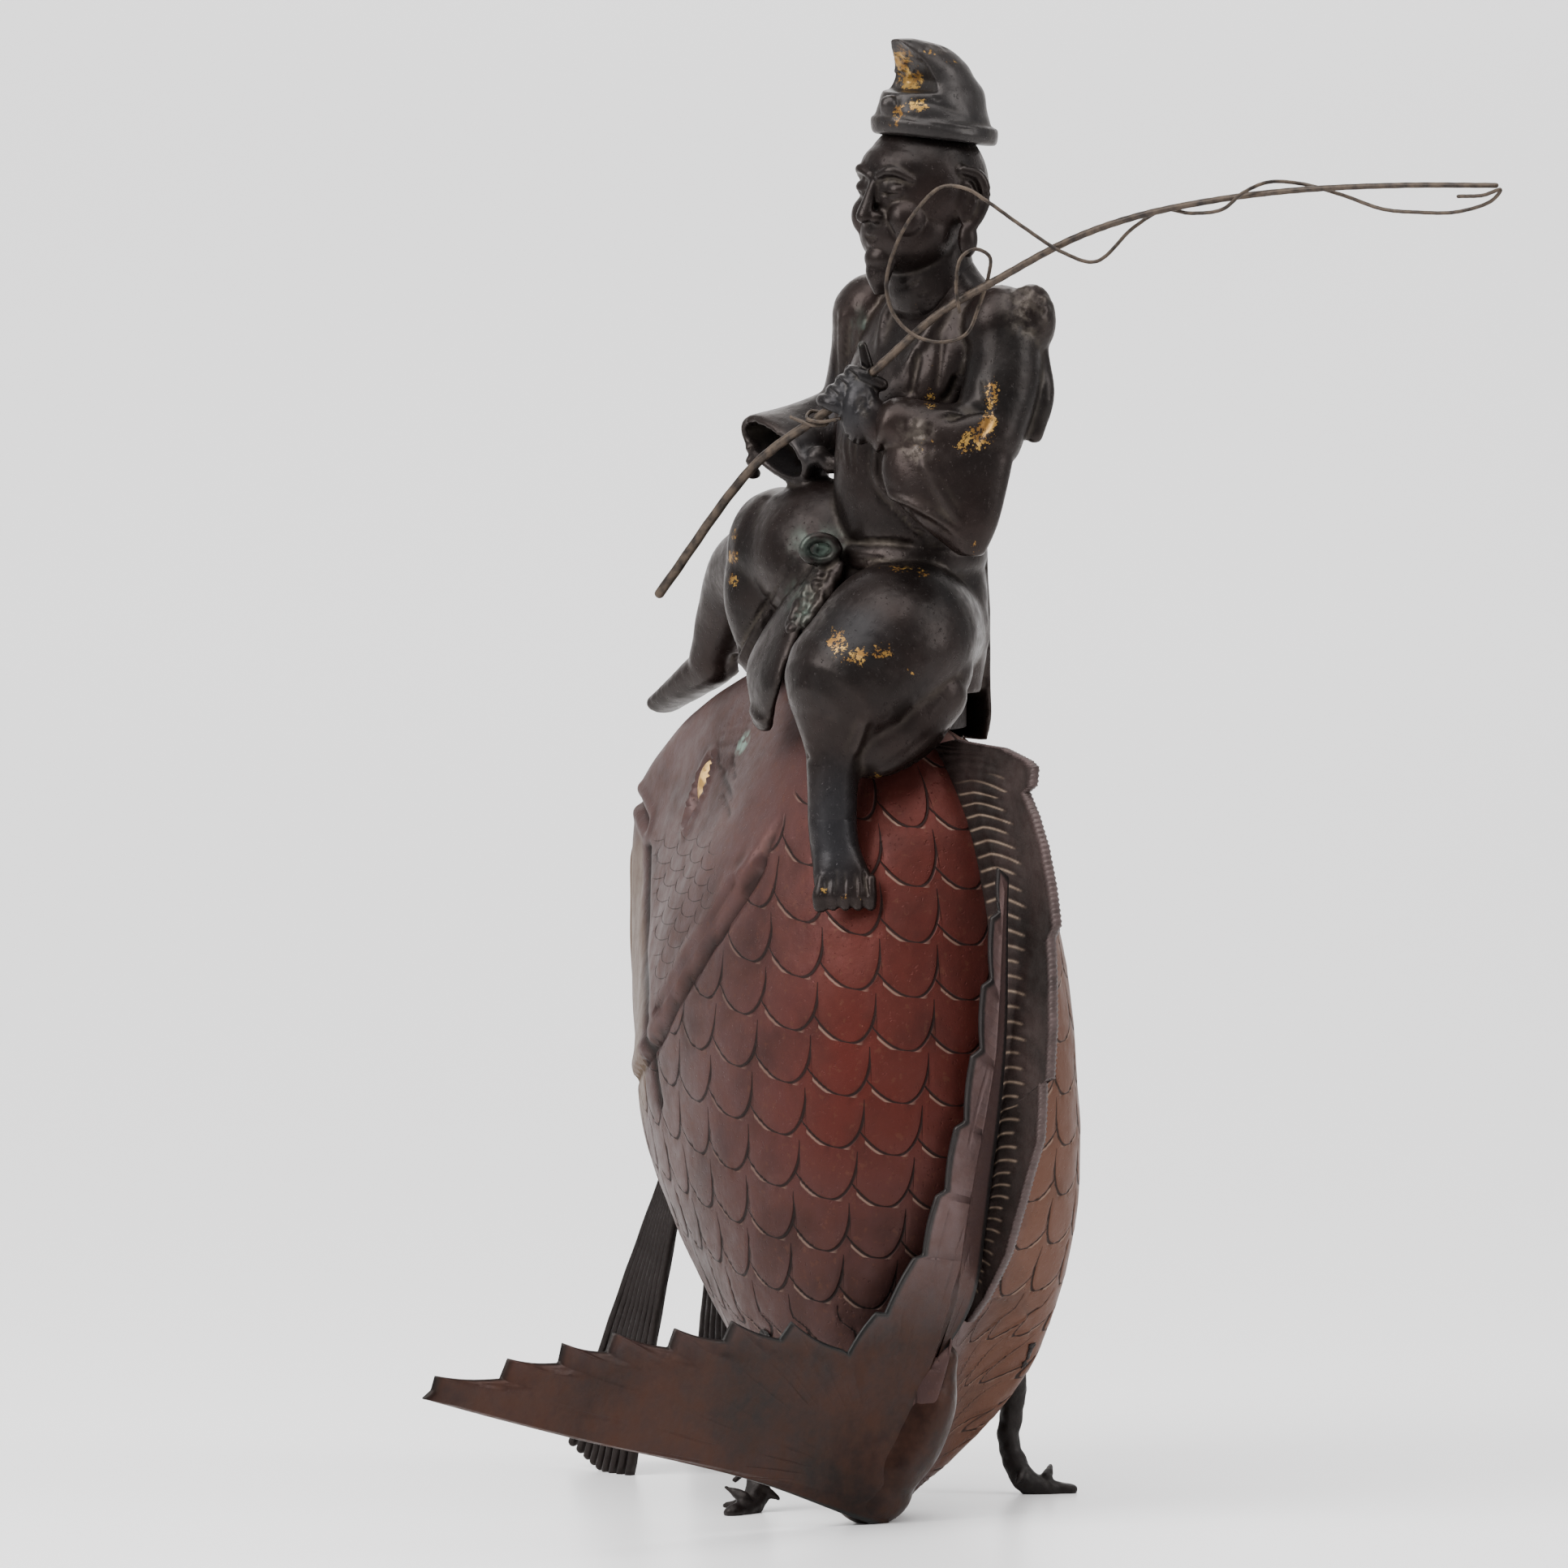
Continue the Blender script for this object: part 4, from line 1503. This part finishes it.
def open_front(rings):
    """Cuts the peak's rings back to its open, slightly hollow front, above a flat shelf."""
    shaped = []
    for ring in rings:
        level = ring[:, 2].mean()
        if level < 188.5:
            shaped.append(ring)
            continue
        if shaped[-1][:, 2].mean() < 188.5:
            shaped.append(ring)
        limit = np.interp(level, [188.5, 192, 198, 204.5, 206], [3, 3, 5.6, 11.5, 13.5])
        wide = np.abs(ring[:, 1]).max()
        hollow = 1.6 * np.clip(1 - (ring[:, 1] / wide) ** 2, 0, 1) * step(level, 188.5, 191.5)
        back = ring.copy()
        back[:, 0] = np.minimum(ring[:, 0], limit - hollow)
        shaped.append(back)
    return shaped


CAP_LINES = [
    ([(4.8, 434.5), (11.5, 432.5), (24, 430), (34.5, 429)], 1.0, -0.6),
    ([(9.5, 438.5), (16.5, 437.5), (26.5, 434)], 0.8, -0.4),
    ([(16.5, 439.5), (19, 438.2)], 0.7, -0.5),
]
CAP_PATCHES = {
    "gilt": [
        (6.5, 451, 6, 7, 1), (9.5, 445, 7, 6.5, 1), (12, 437, 6, 4.5, 1), (6.5, 435.2, 5, 4, 0.8),
        (4, 431.5, 5.5, 2.5, 0.6), (16.5, 453.5, 6, 2, 0.7), (22, 450.5, 5, 2, 0.6),
    ],
    "rough": [
        (7, 447.8, 4.5, 7.5, 1), (16.5, 454, 7.5, 2.5, 0.5),
    ],
}


def fisherman_cap():
    bm = bmesh.new()
    stack(bm, [
        ((-5, 0, 173), (18.5, 16.5), 0, 0.14), ((-4.5, 0, 178.5), (19, 16.5), 0, 0.13),
        ((-4.4, 0, 183.5), (17.8, 15.2), 0, 0.1), ((-4.5, 0, 188), (17, 13.8), 0, 0.02),
        ((-4.5, 0, 192), (13.6, 12), 0, 0), ((-2.5, 0, 197), (12.4, 10), 0, 0),
        ((2, 0, 202), (10, 6.5), 0, 0),
        ((8.5, 0, 205), (4.4, 2.4), 0, 0),
    ], sides=64, between=8, shape=open_front)
    stack(bm, [
        ((-5, 0, 173), (18.5, 16.5), 0, 0.14), ((-5, 0, 173.8), (20.2, 18), 0, 0.14),
        ((-5, 0, 178), (20.6, 18.4), 0, 0.14), ((-5, 0, 178.8), (18.5, 16.5), 0, 0.14),
    ], sides=64, between=3)
    blob(bm, (14.5, 1.5, 185), (3, 3, 3))
    limb(bm, [(13.5, -1.5, 182), (15.5, 1, 183.5), (13, 4.5, 182)], [1.2, 1.6, 1.2], steps=12)
    mesh = fused(bm, 0.6, 2)
    place_figure(mesh, [], CAP_LINES, 0.15)
    patch_figure(mesh, CAP_PATCHES)
    return finish_piece("fisherman_cap", mesh, CAP, "fisherman_lid")


def lid_ring():
    """The locating ring under the figure, drawn up and inward from a circle."""
    bm = bmesh.new()
    outer = bmesh.ops.create_circle(bm, segments=72, radius=RING_RADIUS * MM)["verts"]
    bmesh.ops.translate(bm, verts=outer, vec=Vector((*OPENING_CENTRE, 241.0)) * MM)
    edges = list(bm.edges)
    centre = Matrix.Translation(-Vector((*OPENING_CENTRE, 0)) * MM)
    for rise, share in ((12.0, 1.0), (0.0, RING_BORE / RING_RADIUS), (-12.0, 1.0)):
        geom = bmesh.ops.extrude_edge_only(bm, edges=edges)["geom"]
        fresh = [g for g in geom if isinstance(g, bmesh.types.BMVert)]
        edges = [g for g in geom if isinstance(g, bmesh.types.BMEdge)]
        bmesh.ops.translate(bm, verts=fresh, vec=(0, 0, rise * MM))
        bmesh.ops.scale(bm, verts=fresh, vec=(share, share, 1), space=centre)
    bmesh.ops.bridge_loops(bm, edges=edges + [e for e in bm.edges if e.is_boundary and e not in set(edges)])
    return finish_piece("lid_ring", closed(bm, "lid_ring"), DARK, "fisherman_lid", smooth_shade=False)


def thread(name, route, radii, steps, node):
    bm = bmesh.new()
    limb(bm, route, radii, sides=14, steps=steps, wobble=0.04)
    return finish_piece(name, closed(bm, name), WIRE, node)


fish_body()
fish_face()
back_fin()
tail_fin()
tail_root()
front_fins()
rear_support("support_left", "rear_support_left", 1)
rear_support("support_right", "rear_support_right", -1)
figure_body()
fine_piece("fisherman_fist", fist, 0.42)
fine_piece("fisherman_foot", foot, 0.5)
fine_piece("fisherman_sash", sash, 0.55, 0.6)
fisherman_head()
fisherman_cap()
lid_ring()
thread("rod", ROD_ROUTE, [1.55 - 0.065 * k for k in range(12)], 200, "fishing_rod")
thread("line", LINE_ROUTE, [0.6] * len(LINE_ROUTE), 420, "fishing_line")
thread("tie", TIE_ROUTE, [0.6] * len(TIE_ROUTE), 100, "line_tie")


# The studio


def studio():
    world = bpy.data.worlds.new("studio")
    bpy.context.scene.world = world
    world.use_nodes = True
    world.node_tree.nodes["Background"].inputs["Color"].default_value = (0.96, 0.97, 1.0, 1)
    world.node_tree.nodes["Background"].inputs["Strength"].default_value = 0.66

    bm = bmesh.new()
    bmesh.ops.create_grid(bm, x_segments=1, y_segments=1, size=4)
    far = [e for e in bm.edges if all(v.co.y > 0 for v in e.verts)]
    for vert in {v for e in far for v in e.verts}:
        vert.co.y = 0.3
    for out, up in ((0.4, 0), (0.4, 0), (0.4, 0.08), (0.25, 0.27), (0.1, 0.55), (0, 2.6)):
        geom = bmesh.ops.extrude_edge_only(bm, edges=far)["geom"]
        far = [g for g in geom if isinstance(g, bmesh.types.BMEdge)]
        fresh = [g for g in geom if isinstance(g, bmesh.types.BMVert)]
        bmesh.ops.translate(bm, verts=fresh, vec=(0, out, up))
    bmesh.ops.rotate(bm, verts=bm.verts, cent=(0, 0, 0), matrix=Matrix.Rotation(VIEW_TURN, 3, "Z"))
    mesh = closed(bm, "floor")
    floor = bpy.data.objects.new("floor", mesh)
    bpy.context.scene.collection.objects.link(floor)
    mesh.polygons.foreach_set("use_smooth", [True] * len(mesh.polygons))
    paper = bpy.data.materials.new("paper")
    paper.use_nodes = True
    shader = paper.node_tree.nodes["Principled BSDF"]
    shader.inputs["Base Color"].default_value = (0.93, 0.92, 0.915, 1)
    shader.inputs["Roughness"].default_value = 0.3
    mesh.materials.append(paper)
    mod = floor.modifiers.new("soft", "SUBSURF")
    mod.levels = mod.render_levels = 3


def toward(turn, rise):
    """The direction from the burner to something round it, turned and raised in radians."""
    return Vector((math.sin(turn) * math.cos(rise), -math.cos(turn) * math.cos(rise), math.sin(rise)))


def light(name, azimuth, elevation, distance, size, power):
    """A soft panel that faces the burner; azimuth 147 is the camera's."""
    a, e = math.radians(azimuth), math.radians(elevation)
    target = Vector(LIGHT_TARGET) * MM
    where = target + toward(a, e) * distance
    lamp = bpy.data.lights.new(name, "AREA")
    lamp.shape = "RECTANGLE"
    lamp.size, lamp.size_y = size
    lamp.energy = power
    holder = bpy.data.objects.new(name, lamp)
    bpy.context.scene.collection.objects.link(holder)
    holder.location = where
    holder.rotation_euler = (target - where).to_track_quat("-Z", "Y").to_euler()


def camera():
    a, e = VIEW_TURN, VIEW_RISE
    target = Vector(CAMERA_TARGET) * MM
    where = target + toward(a, e) * CAMERA_DISTANCE
    lens = bpy.data.cameras.new("camera")
    lens.sensor_width = SENSOR
    lens.lens = SENSOR * CAMERA_DISTANCE / (PICTURE * PIXEL * MM)
    lens.clip_end = 50
    holder = bpy.data.objects.new("camera", lens)
    bpy.context.scene.collection.objects.link(holder)
    holder.location = where
    holder.rotation_euler = (target - where).to_track_quat("-Z", "Y").to_euler()
    bpy.context.scene.camera = holder


studio()
light("key", 88, 38, 1.6, (1.0, 1.3), 40)
light("right", 222, 25, 1.8, (0.7, 1.4), 20)
light("top", 160, 76, 1.6, (1.4, 1.4), 34)
light("rim", 330, 40, 1.8, (0.8, 1.4), 8)
camera()
